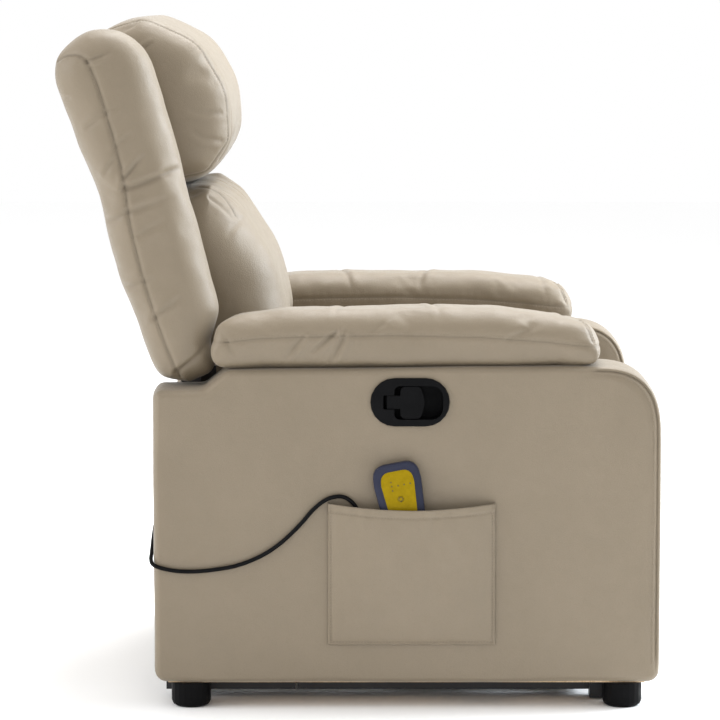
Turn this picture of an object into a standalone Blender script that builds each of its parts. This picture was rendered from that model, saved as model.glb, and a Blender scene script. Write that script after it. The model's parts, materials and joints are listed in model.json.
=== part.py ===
"""Manual massage recliner with upholstered arms, a pocket remote and a fold-out footrest.

Metres, +Z up, +X towards the sitter's feet, -Y towards the sitter's right hand.
Shapes are written in chair coordinates, whose y = 0 is the chair's mid-plane. The empty "chair"
moves them by MID_Y, so that the origin lies under the middle of the whole outline.
"""

import math

import bmesh
import bpy
from mathutils import Matrix, Vector

# ---- driving dimensions ---------------------------------------------------
MID_Y = 0.0124           # mid-plane offset that makes room for the pocket on the right side
HALF_WIDTH = 0.385       # chair half width, over the arms
ARM_IN = 0.260           # inner face of an arm
ARM_WALL = 0.015         # padded skin of an arm
ARM_REAR, ARM_FRONT = -0.303, 0.441
ARM_BOTTOM, ARM_TOP = 0.039, 0.507
SHOULDER = (0.100, 0.108)        # radii of the arm's front top corner
ARM_REAR_TOP = 0.472     # the arm is lower under the backrest
PAD_REAR, PAD_FRONT = -0.211, 0.355
PAD_TOP = 0.592
SEAT_HALF = 0.255
SEAT_TOP = 0.468
SEAT_REAR, SEAT_FRONT = -0.215, 0.411
GAP = 0.0003             # clearance between pieces that touch

BACK_PIVOT = (-0.255, 0.530)     # x, z of the recline axis
BACK_TILT = math.radians(-18)    # the backrest leans rearwards at rest
BACK_HALF = 0.2535               # half width of the middle of the backrest
WING_IN, WING_OUT = 0.2555, 0.355
BACK_HEIGHT = 0.488              # along the backrest, from the recline axis
LUMBAR_MOTOR = (0.100, 0.085)    # from the mid-plane, and up the back

PLATE = 0.004            # mechanism steel thickness
LAYER_PLATE = 0.241      # inner face of the fixed mechanism plates
LAYER_ARM = 0.235        # swing links and footrest brackets
LAYER_COUPLER = 0.229    # couplers and tie rods
LINK_HALF = 0.013        # half width of a main link
ROD_HALF = 0.010         # half width of a tie rod
PIN_R, PIN_HOLE_R = 0.0045, 0.0054

FRONT_PIVOT = (0.190, 0.285)     # fixed pivot of the front swing link
LINK_LENGTH = 0.235
LINK_REST = math.radians(-100)   # direction of both swing links when the footrest is stowed
COUPLER_DIR = math.radians(32.3)
COUPLER_STEP = 0.075             # between the two swing links
COUPLER_LENGTH = 0.208           # from the front swing link to the footrest pivot
TIE_OFFSET = 0.060               # tie rod pivots above the coupler's

FOOTREST_BOTTOM, FOOTREST_TOP = 0.062, 0.345
FOOTREST_REAR = 0.352            # rear face of the footrest board at rest
FOOTREST_FRONT = 0.420
FOOTREST_HALF = 0.250

FOOT_R, FOOT_H = 0.029, 0.0367
FOOT_X = (-0.250, 0.388)
FOOT_Y = 0.350
RAIL_IN, RAIL_OUT = 0.272, 0.297
RAIL_BOTTOM, RAIL_TOP = 0.012, 0.0367
RAIL_SPLIT = -0.095

LEVER_X, LEVER_Z = 0.073, 0.4555          # middle of the release bezel
BEZEL_LENGTH, BEZEL_HEIGHT = 0.116, 0.071
LEVER_PIVOT = (0.0405, -0.3790)           # x, y of the lever's upright axis

REMOTE_FOOT = (0.0783, 0.2197)            # x, z of the lower end of the remote
REMOTE_TILT = math.radians(-11.2)
REMOTE_LENGTH, REMOTE_DEPTH = 0.150, 0.016
REMOTE_BACK = -0.3863                     # y of the remote's rear face
BUTTON_R = 0.0042

POCKET_LEFT, POCKET_RIGHT = -0.047, 0.198
POCKET_BOTTOM, POCKET_TOP = 0.097, 0.307
POCKET_BULGE, POCKET_SHEET = 0.0225, 0.0020

CORD_R = 0.003
ARC_STEPS = 5


# ---- scene and materials --------------------------------------------------
def clear_scene():
    for old in list(bpy.data.objects):
        bpy.data.objects.remove(old)


def make_material(name, colour, roughness, metallic=0.0):
    made = bpy.data.materials.new(name)
    made.use_nodes = True
    shader = made.node_tree.nodes["Principled BSDF"]
    shader.inputs["Base Color"].default_value = (*colour, 1)
    shader.inputs["Roughness"].default_value = roughness
    shader.inputs["Metallic"].default_value = metallic
    return made


def make_materials():
    table = {
        "cover": ((0.40, 0.34, 0.26), 0.55, 0.0),
        "steel": ((0.06, 0.06, 0.065), 0.45, 0.6),
        "zinc": ((0.55, 0.55, 0.56), 0.35, 1.0),
        "plywood": ((0.62, 0.47, 0.30), 0.7, 0.0),
        "black_plastic": ((0.015, 0.015, 0.016), 0.4, 0.0),
        "blue_plastic": ((0.055, 0.06, 0.11), 0.45, 0.0),
        "yellow_film": ((0.50, 0.38, 0.01), 0.35, 0.0),
        "cable": ((0.012, 0.012, 0.012), 0.4, 0.0),
    }
    return {name: make_material(name, *values) for name, values in table.items()}


# ---- outlines and solids --------------------------------------------------
def arc(centre, radius, start, end, steps=ARC_STEPS):
    """Points on a circle, angles in degrees."""
    angles = [math.radians(start + (end - start) * i / steps) for i in range(steps + 1)]
    return [(centre[0] + radius * math.cos(a), centre[1] + radius * math.sin(a)) for a in angles]


def ellipse_arc(centre, radii, start, end, steps=8):
    angles = [math.radians(start + (end - start) * i / steps) for i in range(steps + 1)]
    return [(centre[0] + radii[0] * math.cos(a), centre[1] + radii[1] * math.sin(a)) for a in angles]


def rounded(corners, steps=ARC_STEPS):
    """A closed outline from corners (x, z, radius), each rounded by an arc of that radius."""
    points = []
    for i, (x, z, radius) in enumerate(corners):
        here = Vector((x, z))
        before = Vector(corners[i - 1][:2]) - here
        after = Vector(corners[(i + 1) % len(corners)][:2]) - here
        if radius <= 0:
            points.append((x, z))
            continue
        half = before.angle(after) / 2
        reach = radius / math.tan(half)
        start = here + before.normalized() * reach
        end = here + after.normalized() * reach
        centre = here + (before.normalized() + after.normalized()).normalized() * (radius / math.sin(half))
        a = start - centre
        b = end - centre
        turn = math.atan2(a.x * b.y - a.y * b.x, a.dot(b))
        for k in range(steps + 1):
            c, s = math.cos(turn * k / steps), math.sin(turn * k / steps)
            points.append((centre.x + a.x * c - a.y * s, centre.y + a.x * s + a.y * c))
    return points


def stadium(start, end, radius, steps=6):
    """The outline of a link with round ends, from one pivot to the other."""
    heading = math.degrees(math.atan2(end[1] - start[1], end[0] - start[0]))
    return arc(end, radius, heading - 90, heading + 90, steps) + arc(
        start, radius, heading + 90, heading + 270, steps
    )


def finish_mesh(bm, origin=(0, 0, 0)):
    bmesh.ops.remove_doubles(bm, verts=bm.verts, dist=1e-6)
    bmesh.ops.recalc_face_normals(bm, faces=bm.faces)
    bmesh.ops.translate(bm, verts=bm.verts, vec=-Vector(origin))
    mesh = bpy.data.meshes.new("shape")
    bm.to_mesh(mesh)
    bm.free()
    return mesh


def add_object(name, mesh, material, parent, origin=(0, 0, 0)):
    made = bpy.data.objects.new(name, mesh)
    made.data.name = name
    made.location = origin
    made.parent = parent
    if material:
        made.data.materials.append(material)
    bpy.context.scene.collection.objects.link(made)
    return made


def add_empty(name, parent, location, rotation=(0, 0, 0)):
    made = bpy.data.objects.new(name, None)
    made.location = location
    made.rotation_euler = rotation
    made.parent = parent
    bpy.context.scene.collection.objects.link(made)
    return made


def prism(outline, y_from, y_to, axis="Y"):
    """A bmesh of an (x, z) outline extruded along Y, an (x, y) one along Z or a (y, z) one along X."""
    place = {
        "Y": lambda p, t: (p[0], t, p[1]),
        "Z": lambda p, t: (p[0], p[1], t),
        "X": lambda p, t: (t, p[0], p[1]),
    }[axis]
    bm = bmesh.new()
    near = [bm.verts.new(place(p, y_from)) for p in outline]
    far = [bm.verts.new(place(p, y_to)) for p in outline]
    bm.faces.new(near)
    bm.faces.new(far[::-1])
    for i in range(len(outline)):
        k = (i + 1) % len(outline)
        bm.faces.new((near[i], near[k], far[k], far[i]))
    return bm


def block(x, y, z):
    """A bmesh box from three (low, high) pairs."""
    outline = [(x[0], z[0]), (x[1], z[0]), (x[1], z[1]), (x[0], z[1])]
    return prism(outline, min(y), max(y))


def lathe(profile, steps, matrix):
    """A solid turned round the local Z axis, from (radius, height) pairs, both ends on the axis."""
    bm = bmesh.new()
    rings = []
    for radius, height in profile:
        if radius < 1e-6:
            rings.append([bm.verts.new((0, 0, height))])
            continue
        turn = [2 * math.pi * k / steps for k in range(steps)]
        rings.append([bm.verts.new((radius * math.cos(t), radius * math.sin(t), height)) for t in turn])
    for low, high in zip(rings, rings[1:]):
        for k in range(steps):
            n = (k + 1) % steps
            if len(low) == 1:
                bm.faces.new((low[0], high[n], high[k]))
            elif len(high) == 1:
                bm.faces.new((low[k], low[n], high[0]))
            else:
                bm.faces.new((low[k], low[n], high[n], high[k]))
    bmesh.ops.transform(bm, matrix=matrix, verts=bm.verts)
    return bm


def rod_between(start, end, radius, steps=12):
    """A round bar from one point to another."""
    start, end = Vector(start), Vector(end)
    turn = (end - start).to_track_quat("Z", "Y").to_matrix().to_4x4()
    length = (end - start).length
    profile = [(0, 0), (radius, 0), (radius, length), (0, length)]
    return lathe(profile, steps, Matrix.Translation(start) @ turn)


def add_bevel(target, width, segments=2, angle=50):
    bevel = target.modifiers.new("rounding", "BEVEL")
    bevel.width = width
    bevel.segments = segments
    bevel.limit_method = "ANGLE"
    bevel.angle_limit = math.radians(angle)
    return target


def combine(target, other, operation):
    change = target.modifiers.new(operation.lower(), "BOOLEAN")
    change.operation = operation
    change.solver = "EXACT"
    change.object = other
    return target


def helper(name, bm, parent, origin=(0, 0, 0)):
    """A hidden solid that cuts or joins a visible one."""
    made = add_object(name, finish_mesh(bm, origin), None, parent, origin)
    made.hide_render = True
    made.display_type = "WIRE"
    return made


def cut(target, name, bm, parent):
    return combine(target, helper(name, bm, parent), "DIFFERENCE")


def join(target, name, bm, parent):
    return combine(target, helper(name, bm, parent), "UNION")


def side_name(side):
    return "right" if side < 0 else "left"


def polar(origin, angle, length):
    return (origin[0] + length * math.cos(angle), origin[1] + length * math.sin(angle))


# ---- base: feet, frame, mechanism plates ----------------------------------
def make_feet(chair, mats):
    edge = 0.007
    rim = [(FOOT_R - edge, 0), (FOOT_R - 0.002, 0.003), (FOOT_R, edge + 0.001), (FOOT_R, FOOT_H)]
    profile = [(0, 0)] + rim + [(0, FOOT_H)]
    for x, end in zip(FOOT_X, ("rear", "front")):
        for side in (-1, 1):
            shape = lathe(profile, 20, Matrix.Translation((x, side * FOOT_Y, 0)))
            add_object(f"foot_{end}_{side_name(side)}", finish_mesh(shape), mats["black_plastic"], chair)


def base_frame(name, x_from, x_to, cross, chair, mats):
    """Two steel rails welded to one cross tube."""
    height = (RAIL_BOTTOM, RAIL_TOP)
    right = block((x_from, x_to), (-RAIL_OUT, -RAIL_IN), height)
    made = add_object(name, finish_mesh(right), mats["steel"], chair)
    left = block((x_from, x_to), (RAIL_IN, RAIL_OUT), height)
    join(made, name + "_left_rail", left, chair)
    tube = block(cross, (-RAIL_IN - 0.01, RAIL_IN + 0.01), (RAIL_BOTTOM + 0.002, RAIL_TOP - 0.002))
    join(made, name + "_cross_tube", tube, chair)
    return made


def make_base(chair, mats):
    joint_gap = 0.0015
    base_frame("base_frame_rear", -0.290, RAIL_SPLIT - joint_gap, (-0.262, -0.237), chair, mats)
    front = base_frame("base_frame_front", RAIL_SPLIT + joint_gap, 0.400, (0.318, 0.343), chair, mats)
    tube = block((0.113, 0.138), (-RAIL_IN - 0.01, RAIL_IN + 0.01), (RAIL_BOTTOM + 0.002, RAIL_TOP - 0.002))
    join(front, "middle_cross_tube", tube, chair)
    leg_height = 0.002
    for side in (-1, 1):
        leg = block((0.343, 0.378), sorted((side * 0.284, side * 0.312)), (leg_height, RAIL_TOP - 0.001))
        join(front, f"front_leg_{side_name(side)}", leg, chair)


def coupler_point(distance):
    """A point along a coupler at rest, from its front swing link's lower pivot."""
    return polar(polar(FRONT_PIVOT, LINK_REST, LINK_LENGTH), COUPLER_DIR, distance)


def rear_pivot():
    return polar(FRONT_PIVOT, COUPLER_DIR, COUPLER_STEP)


def make_fixed_plates(chair, mats):
    """The steel plates that carry the footrest links and the backrest hinges."""
    top = 0.3447
    bottom = RAIL_TOP + 0.0006
    for side in (-1, 1):
        faces = sorted((side * LAYER_PLATE, side * (LAYER_PLATE + PLATE)))
        corners = [(0.110, bottom, 0.01), (0.340, bottom, 0.01), (0.290, top, 0.012), (0.140, top, 0.012)]
        outline = rounded(corners, 3)
        plate = add_object(
            f"mechanism_plate_{side_name(side)}", finish_mesh(prism(outline, *faces)), mats["steel"], chair
        )
        for k, pivot in enumerate((FRONT_PIVOT, rear_pivot())):
            pin = pin_bar(pivot, side, LAYER_PLATE + 0.001, LAYER_ARM - 0.0012)
            join(plate, f"plate_pin_{side_name(side)}_{k}", pin, chair)

        x, z = BACK_PIVOT
        outline = [(-0.268, bottom), (-0.216, bottom)] + arc((x, z), LINK_HALF, 0, 180, 6)
        upright = add_object(
            f"back_upright_{side_name(side)}", finish_mesh(prism(outline, *faces)), mats["steel"], chair
        )
        pin = pin_bar(BACK_PIVOT, side, LAYER_PLATE + 0.001, LAYER_PLATE - 0.0085)
        join(upright, f"recline_pin_{side_name(side)}", pin, chair)


def pin_bar(pivot, side, y_from, y_to, radius=PIN_R):
    x, z = pivot
    return rod_between((x, side * y_from, z), (x, side * y_to, z), radius)


# ---- arms -------------------------------------------------------------------
def arm_outline():
    middle = (ARM_FRONT - SHOULDER[0], ARM_TOP - SHOULDER[1])
    shoulder = [(x, z, 0) for x, z in ellipse_arc(middle, SHOULDER, 0, 90)]
    lower = [(ARM_REAR, ARM_REAR_TOP, 0.012), (ARM_REAR, ARM_BOTTOM, 0.018), (ARM_FRONT, ARM_BOTTOM, 0.018)]
    upper = [(-0.175, 0.501, 0.030), (-0.212, ARM_REAR_TOP, 0.020)]
    return rounded(lower + shoulder + upper, 4)


def make_arms(chair, mats):
    inside = [
        (ARM_REAR + ARM_WALL, 0.0), (ARM_REAR + ARM_WALL, 0.450), (-0.200, 0.455), (0.340, 0.478),
        (0.395, 0.455), (ARM_FRONT - ARM_WALL, 0.400), (ARM_FRONT - ARM_WALL, 0.0),
    ]
    for side in (-1, 1):
        label = side_name(side)
        cover = add_object(
            f"arm_cover_{label}",
            finish_mesh(prism(arm_outline(), *sorted((side * ARM_IN, side * HALF_WIDTH)))),
            mats["cover"],
            chair,
        )
        add_bevel(cover, 0.010, 2, 60)
        hollow = prism(inside, *sorted((side * (ARM_IN + ARM_WALL), side * (HALF_WIDTH - ARM_WALL))))
        cut(cover, f"arm_hollow_{label}", hollow, chair)

        board_in, board_out = ARM_IN + ARM_WALL + 0.0005, ARM_IN + ARM_WALL + 0.0125
        foot_board = HALF_WIDTH - ARM_WALL - 0.001
        section = [
            (board_in, 0.0372), (foot_board, 0.0372), (foot_board, 0.0520), (board_out, 0.0520),
            (board_out, 0.405), (board_in, 0.405),
        ]
        section = [(side * y, z) for y, z in section]
        frame = add_object(
            f"arm_frame_{label}", finish_mesh(prism(section, -0.283, 0.420, "X")), mats["plywood"], chair
        )
        if side < 0:
            cut_release_openings(cover, frame, chair)
        make_arm_pad(side, chair, mats)


def cut_release_openings(cover, frame, chair):
    x, y, z = CABLE_ROUTE[-2]
    hole = rod_between((x, -0.320, z), (x, -0.250, z), 0.006)
    cutter = helper("cable_hole", hole, chair)
    combine(cover, cutter, "DIFFERENCE")
    combine(frame, cutter, "DIFFERENCE")
    opening = rounded(
        [(0.0305, 0.4267, 0.003), (0.1244, 0.4267, 0.020), (0.1244, 0.4828, 0.020), (0.0305, 0.4828, 0.003)], 4
    )
    cut(cover, "release_window", prism(opening, -0.40, -0.3575), chair)


def make_arm_pad(side, chair, mats):
    low = 0.5078
    outline = rounded(
        [
            (PAD_REAR, low, 0.014), (PAD_FRONT - 0.004, low, 0.012), (PAD_FRONT, 0.538, 0.02),
            (0.310, 0.579, 0.03), (0.200, PAD_TOP, 0.20), (-0.100, PAD_TOP, 0.20), (-0.203, 0.576, 0.028),
        ],
        3,
    )
    pad = add_object(
        f"arm_pad_{side_name(side)}",
        finish_mesh(prism(outline, *sorted((side * 0.2548, side * 0.383)))),
        mats["cover"],
        chair,
    )
    add_bevel(pad, 0.018, 2, 60)


def make_rear_panel(chair, mats):
    rear, front = -0.283, -0.270
    corners = [(rear, 0.050, 0.004), (front, 0.050, 0.004), (front, 0.465, 0.004), (rear, 0.465, 0.004)]
    shape = prism(rounded(corners, 2), -ARM_IN + 0.001, ARM_IN - 0.001)
    add_object("rear_panel", finish_mesh(shape), mats["cover"], chair)


# ---- seat -------------------------------------------------------------------
def make_seat(chair, mats):
    low, high = 0.3453, 0.3850
    board = block((-0.205, 0.338), (-0.2535, 0.2535), (low, high))
    frame = add_object("seat_frame", finish_mesh(board), mats["plywood"], chair)
    cut(frame, "seat_frame_window", block(SPRING_X, (-0.213, 0.213), (0.33, 0.40)), chair)
    make_spring_deck(chair, mats)

    corners = [
        (SEAT_REAR, 0.362, 0.020), (SEAT_FRONT - 0.012, 0.362, 0.026), (SEAT_FRONT, 0.425, 0.03),
        (SEAT_FRONT - 0.008, SEAT_TOP, 0.030), (SEAT_REAR, SEAT_TOP - 0.002, 0.02),
    ]
    shape = prism(rounded(corners, 4), -SEAT_HALF, SEAT_HALF)
    cushion = add_object("seat_cushion", finish_mesh(shape), mats["cover"], chair)
    add_bevel(cushion, 0.016, 2, 60)
    cut(cushion, "seat_frame_space", block((-0.30, 0.3388), (-0.30, 0.30), (0.33, 0.3858)), chair)
    pocket = rod_between((*SEAT_MOTOR, 0.380), (*SEAT_MOTOR, 0.4115), 0.028, 20)
    cut(cushion, "seat_motor_pocket", pocket, chair)


SPRING_X = (-0.165, 0.300)
SEAT_MOTOR = (0.080, 0.0)
SPRING_Z = 0.3790
WIRE = 0.0018


def make_spring_deck(chair, mats):
    """Four zigzag springs tied together by two cross wires."""
    bends = 7
    reach = 0.020
    inside = 0.0045
    length = SPRING_X[1] - SPRING_X[0] - 2 * inside
    cross = []
    for x in (-0.060, 0.190):
        cross.append(rod_between((x, -0.195, SPRING_Z + 0.0012), (x, 0.195, SPRING_Z + 0.0012), WIRE, 5))
    deck = add_object("seat_spring_deck", finish_mesh(cross[0]), mats["zinc"], chair)
    for k, y in enumerate((-0.165, -0.055, 0.055, 0.165)):
        route = []
        for i in range(4 * bends + 1):
            share = i / (4 * bends)
            wave = math.sin(2 * math.pi * bends / 2 * share)
            route.append((SPRING_X[0] + inside + length * share, y + reach * math.tanh(2.2 * wave), SPRING_Z))
        join(deck, f"zigzag_spring_{k}", wire_mesh(route, WIRE), chair)
    join(deck, "cross_wire", cross[1], chair)


def wire_mesh(route, radius, sides=5):
    """A tube along a route that lies in one level plane, with closed ends."""
    bm = bmesh.new()
    points = [Vector(p) for p in route]
    rings = []
    for i, here in enumerate(points):
        ahead = points[min(i + 1, len(points) - 1)] - points[max(i - 1, 0)]
        across = Vector((-ahead.y, ahead.x, 0)).normalized()
        ring = []
        for k in range(sides):
            a = 2 * math.pi * (k + 0.5) / sides
            offset = across * radius * math.cos(a) + Vector((0, 0, radius * math.sin(a)))
            ring.append(bm.verts.new(here + offset))
        rings.append(ring)
    for one, two in zip(rings, rings[1:]):
        for k in range(sides):
            n = (k + 1) % sides
            bm.faces.new((one[k], one[n], two[n], two[k]))
    bm.faces.new(rings[0][::-1])
    bm.faces.new(rings[-1])
    return bm


# ---- footrest linkage ---------------------------------------------------------
def link(name, start, end, half, layer, side, parent, mats, origin, pins=(), holes=()):
    """A flat steel link with round ends, pins that reach outwards and holes for its neighbours' pins."""
    faces = sorted((side * layer, side * (layer + PLATE)))
    made = add_object(
        name, finish_mesh(prism(stadium(start, end, half), *faces), origin), mats["steel"], parent, origin
    )
    for k, pivot in enumerate(pins):
        tip = LAYER_ARM + PLATE + 0.0010
        join(made, f"{name}_pin_{k}", pin_bar(pivot, side, layer + 0.001, tip), parent)
    for k, pivot in enumerate(holes):
        bore = pin_bar(pivot, side, layer - 0.002, layer + PLATE + 0.002, PIN_HOLE_R)
        cut(made, f"{name}_hole_{k}", bore, parent)
    return made


def make_linkage(chair, mats):
    """Two parallelograms on each side turn the footrest as far as the swing links turn."""
    front_low = coupler_point(0)
    rear_low = coupler_point(COUPLER_STEP)
    board_pivot = coupler_point(COUPLER_LENGTH)
    up = LINK_REST + math.pi
    tie_rear = polar(rear_low, up, TIE_OFFSET)
    tie_front = polar(board_pivot, up, TIE_OFFSET)
    for side in (-1, 1):
        label = side_name(side)
        centre = (FRONT_PIVOT[0], 0, FRONT_PIVOT[1])
        link(f"front_swing_link_{label}", FRONT_PIVOT, front_low, LINK_HALF, LAYER_ARM, side, chair, mats,
             centre, holes=(FRONT_PIVOT, front_low))
        pivot = rear_pivot()
        link(f"rear_swing_link_{label}", pivot, rear_low, LINK_HALF, LAYER_ARM, side, chair, mats,
             (pivot[0], 0, pivot[1]), holes=(pivot, rear_low, tie_rear))
        link(f"coupler_link_{label}", front_low, board_pivot, LINK_HALF, LAYER_COUPLER, side, chair, mats,
             (front_low[0], 0, front_low[1]), pins=(front_low, rear_low, board_pivot))
        link(f"tie_rod_{label}", tie_rear, tie_front, ROD_HALF, LAYER_COUPLER, side, chair, mats,
             (tie_rear[0], 0, tie_rear[1]), pins=(tie_rear, tie_front))
        make_footrest_bracket(side, board_pivot, tie_front, chair, mats)
    middle = polar(FRONT_PIVOT, LINK_REST, 0.075)
    reach = LAYER_ARM - GAP
    tube = rod_between((middle[0], -reach, middle[1]), (middle[0], reach, middle[1]), 0.010, 14)
    centre = (FRONT_PIVOT[0], 0, FRONT_PIVOT[1])
    add_object("swing_cross_tube", finish_mesh(tube, centre), mats["steel"], chair, centre)
    make_footrest(board_pivot, chair, mats)


def make_footrest_bracket(side, board_pivot, tie_front, chair, mats):
    face = FOOTREST_REAR - GAP
    centre = (board_pivot[0], 0, board_pivot[1])
    outline = rounded(
        [
            (face, 0.140, 0), (face, 0.262, 0), (face - 0.010, 0.262, 0.004),
            (tie_front[0] - 0.014, tie_front[1] + 0.010, 0.008),
            (board_pivot[0] - 0.015, board_pivot[1] + 0.004, 0.008),
            (board_pivot[0] - 0.008, 0.146, 0.006), (face - 0.010, 0.140, 0.004),
        ],
        3,
    )
    name = f"footrest_bracket_{side_name(side)}"
    faces = sorted((side * LAYER_ARM, side * (LAYER_ARM + PLATE)))
    bracket = add_object(name, finish_mesh(prism(outline, *faces), centre), mats["steel"], chair, centre)
    flange = block((face - 0.003, face), sorted((side * 0.205, side * (LAYER_ARM + 0.002))), (0.1415, 0.2605))
    join(bracket, name + "_flange", flange, chair)
    for k, pivot in enumerate((board_pivot, tie_front)):
        bore = pin_bar(pivot, side, LAYER_ARM - 0.002, LAYER_ARM + PLATE + 0.002, PIN_HOLE_R)
        cut(bracket, f"{name}_hole_{k}", bore, chair)


def make_footrest(board_pivot, chair, mats):
    centre = (board_pivot[0], 0, board_pivot[1])
    board_front = FOOTREST_REAR + 0.012
    board_height = (FOOTREST_BOTTOM + 0.004, FOOTREST_TOP - 0.012)
    board = block((FOOTREST_REAR, board_front), (-0.245, 0.245), board_height)
    add_object("footrest_board", finish_mesh(board, centre), mats["plywood"], chair, centre)
    outline = rounded(
        [
            (board_front + GAP, FOOTREST_BOTTOM, 0.008), (FOOTREST_FRONT, FOOTREST_BOTTOM, 0.024),
            (FOOTREST_FRONT, FOOTREST_TOP, 0.030), (board_front + GAP, FOOTREST_TOP, 0.012),
        ],
        4,
    )
    shape = prism(outline, -FOOTREST_HALF, FOOTREST_HALF)
    pad = add_object("footrest_pad", finish_mesh(shape, centre), mats["cover"], chair, centre)
    add_bevel(pad, 0.014, 2, 60)


# ---- backrest -------------------------------------------------------------------
def make_backrest(chair, mats):
    """In the backrest's own frame: z along the back, x out of its front, origin on the recline axis."""
    back = add_empty("backrest_pivot", chair, (BACK_PIVOT[0], 0, BACK_PIVOT[1]), (0, BACK_TILT, 0))
    board_front = -0.030
    board = block((-0.045, board_front), (-0.228, 0.228), (-0.028, 0.430))
    add_object("back_frame", finish_mesh(board), mats["plywood"], back)

    rear, front = -0.0600, -0.0475
    corners = [(rear, -0.008, 0.004), (front, -0.008, 0.003), (front, 0.445, 0.004), (rear, 0.408, 0.020)]
    cover = prism(rounded(corners, 3), -BACK_HALF, BACK_HALF)
    add_object("back_cover", finish_mesh(cover), mats["cover"], back)

    for side in (-1, 1):
        make_hinge_plate(side, board_front, back, mats)
        make_wing(side, back, mats)
    make_lumbar(back, mats)
    make_headrest(back, mats)
    for side in (-1, 1):
        base = (board_front + GAP, side * LUMBAR_MOTOR[0], LUMBAR_MOTOR[1])
        make_motor(f"lumbar_{side_name(side)}", base, (0, math.pi / 2, 0), back, mats)


def make_hinge_plate(side, board_front, back, mats):
    outline = arc((0, 0), LINK_HALF, 180, 360, 6) + [(0.008, 0.120), (-0.028, 0.120)]
    faces = sorted((side * 0.234, side * 0.238))
    name = f"back_hinge_plate_{side_name(side)}"
    plate = add_object(name, finish_mesh(prism(outline, *faces)), mats["steel"], back)
    flange = block(
        (board_front + GAP, board_front + GAP + 0.003), sorted((side * 0.190, side * 0.236)), (0.036, 0.118)
    )
    join(plate, name + "_flange", flange, back)
    cut(plate, name + "_hole", pin_bar((0, 0), side, 0.231, 0.241, PIN_HOLE_R), back)


def wing_outline():
    heel = arc((0, 0), 0.054, 205, 258, 5)
    front = rounded(
        [
            (0.020, -0.034, 0.006), (0.037, -0.006, 0.010), (0.0665, 0.036, 0.015), (0.0845, 0.300, 0.25),
            (0.0845, BACK_HEIGHT, 0.074), (-0.058, BACK_HEIGHT, 0.066), (-0.0630, 0.110, 0.02),
        ],
        5,
    )
    return heel + front


def make_wing(side, back, mats):
    shape = prism(wing_outline(), *sorted((side * WING_IN, side * WING_OUT)))
    wing = add_object(f"wing_{side_name(side)}", finish_mesh(shape), mats["cover"], back)
    add_bevel(wing, 0.020, 2, 60)


def make_lumbar(back, mats):
    corners = [
        (-0.018, 0.222, 0.008), (-0.018, -0.046, 0.008), (0.118, -0.091, 0.022), (0.150, -0.030, 0.06),
        (0.160, 0.080, 0.12), (0.146, 0.180, 0.06), (0.112, 0.222, 0.022),
    ]
    shape = prism(rounded(corners, 4), -BACK_HALF, BACK_HALF)
    cushion = add_object("lumbar_cushion", finish_mesh(shape), mats["cover"], back)
    add_bevel(cushion, 0.018, 2, 60)
    for side in (-1, 1):
        notch = block((-0.030, 0.024), sorted((side * 0.2295, side * 0.270)), (-0.080, 0.135))
        cut(cushion, f"hinge_notch_{side_name(side)}", notch, back)
        y, z = side * LUMBAR_MOTOR[0], LUMBAR_MOTOR[1]
        pocket = rod_between((-0.030, y, z), (-0.0035, y, z), 0.028, 20)
        cut(cushion, f"motor_pocket_{side_name(side)}", pocket, back)


def make_headrest(back, mats):
    corners = [
        (-0.018, 0.2275, 0.012), (0.108, 0.2275, 0.030), (0.160, 0.270, 0.035), (0.180, 0.345, 0.09),
        (0.160, 0.435, 0.07), (0.090, 0.492, 0.050), (-0.018, 0.486, 0.030),
    ]
    shape = prism(rounded(corners, 4), -BACK_HALF, BACK_HALF)
    cushion = add_object("headrest_cushion", finish_mesh(shape), mats["cover"], back)
    add_bevel(cushion, 0.022, 2, 60)


# ---- massage motors and electronics ---------------------------------------------
def make_motor(label, base, turn, parent, mats):
    """A cup with a fixed shaft, and the eccentric weight that spins on it."""
    seat = add_empty(f"motor_seat_{label}", parent, base, turn)
    cup_r, depth, wall = 0.025, 0.022, 0.002
    profile = [
        (0, 0), (cup_r, 0), (cup_r, depth), (cup_r - wall, depth), (cup_r - wall, wall + 0.001),
        (0.0030, wall + 0.001), (0.0030, depth - 0.002), (0, depth - 0.002),
    ]
    cup = finish_mesh(lathe(profile, 20, Matrix.Identity(4)))
    add_object(f"motor_housing_{label}", cup, mats["black_plastic"], seat)
    half_disc = arc((0, 0), 0.0195, 0, 180, 8) + arc((0, 0), 0.0065, 180, 360, 4)
    weight = prism(half_disc, 0.0055, 0.0165, "Z")
    made = add_object(f"motor_weight_{label}", finish_mesh(weight), mats["zinc"], seat)
    bore = rod_between((0, 0, 0), (0, 0, 0.03), 0.0040)
    cut(made, f"motor_weight_bore_{label}", bore, seat)


def make_electronics(chair, mats):
    make_motor("seat", (*SEAT_MOTOR, 0.3858), (0, 0, 0), chair, mats)
    case = block((-0.2697, -0.232), (-0.110, -0.010), (0.105, 0.175))
    box = add_object("control_box", finish_mesh(case), mats["black_plastic"], chair)
    add_bevel(box, 0.003, 2)
    facing_back = Matrix.Translation((-0.2833, 0.120, 0.140)) @ Matrix.Rotation(-math.pi / 2, 4, "Y")
    profile = [(0, 0), (0.0095, 0), (0.0095, 0.002), (0.0065, 0.002), (0.0065, 0.009), (0.0045, 0.009),
               (0.0045, 0.003), (0.0011, 0.003), (0.0011, 0.008), (0, 0.008)]
    add_object("power_inlet", finish_mesh(lathe(profile, 16, facing_back)), mats["black_plastic"], chair)


# ---- release handle ---------------------------------------------------------------
CABLE_ROUTE = [
    (0.062, -0.3587, 0.4550), (0.062, -0.3450, 0.4520), (0.066, -0.3330, 0.4300), (0.080, -0.3250, 0.3800),
    (0.105, -0.3190, 0.3300), (0.133, -0.3120, 0.2990), (0.1500, -0.2980, 0.2885), (0.1522, -0.2830, 0.2875),
    (0.1525, -0.2650, 0.2872), (0.1525, -0.2454, 0.2870),
]


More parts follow.
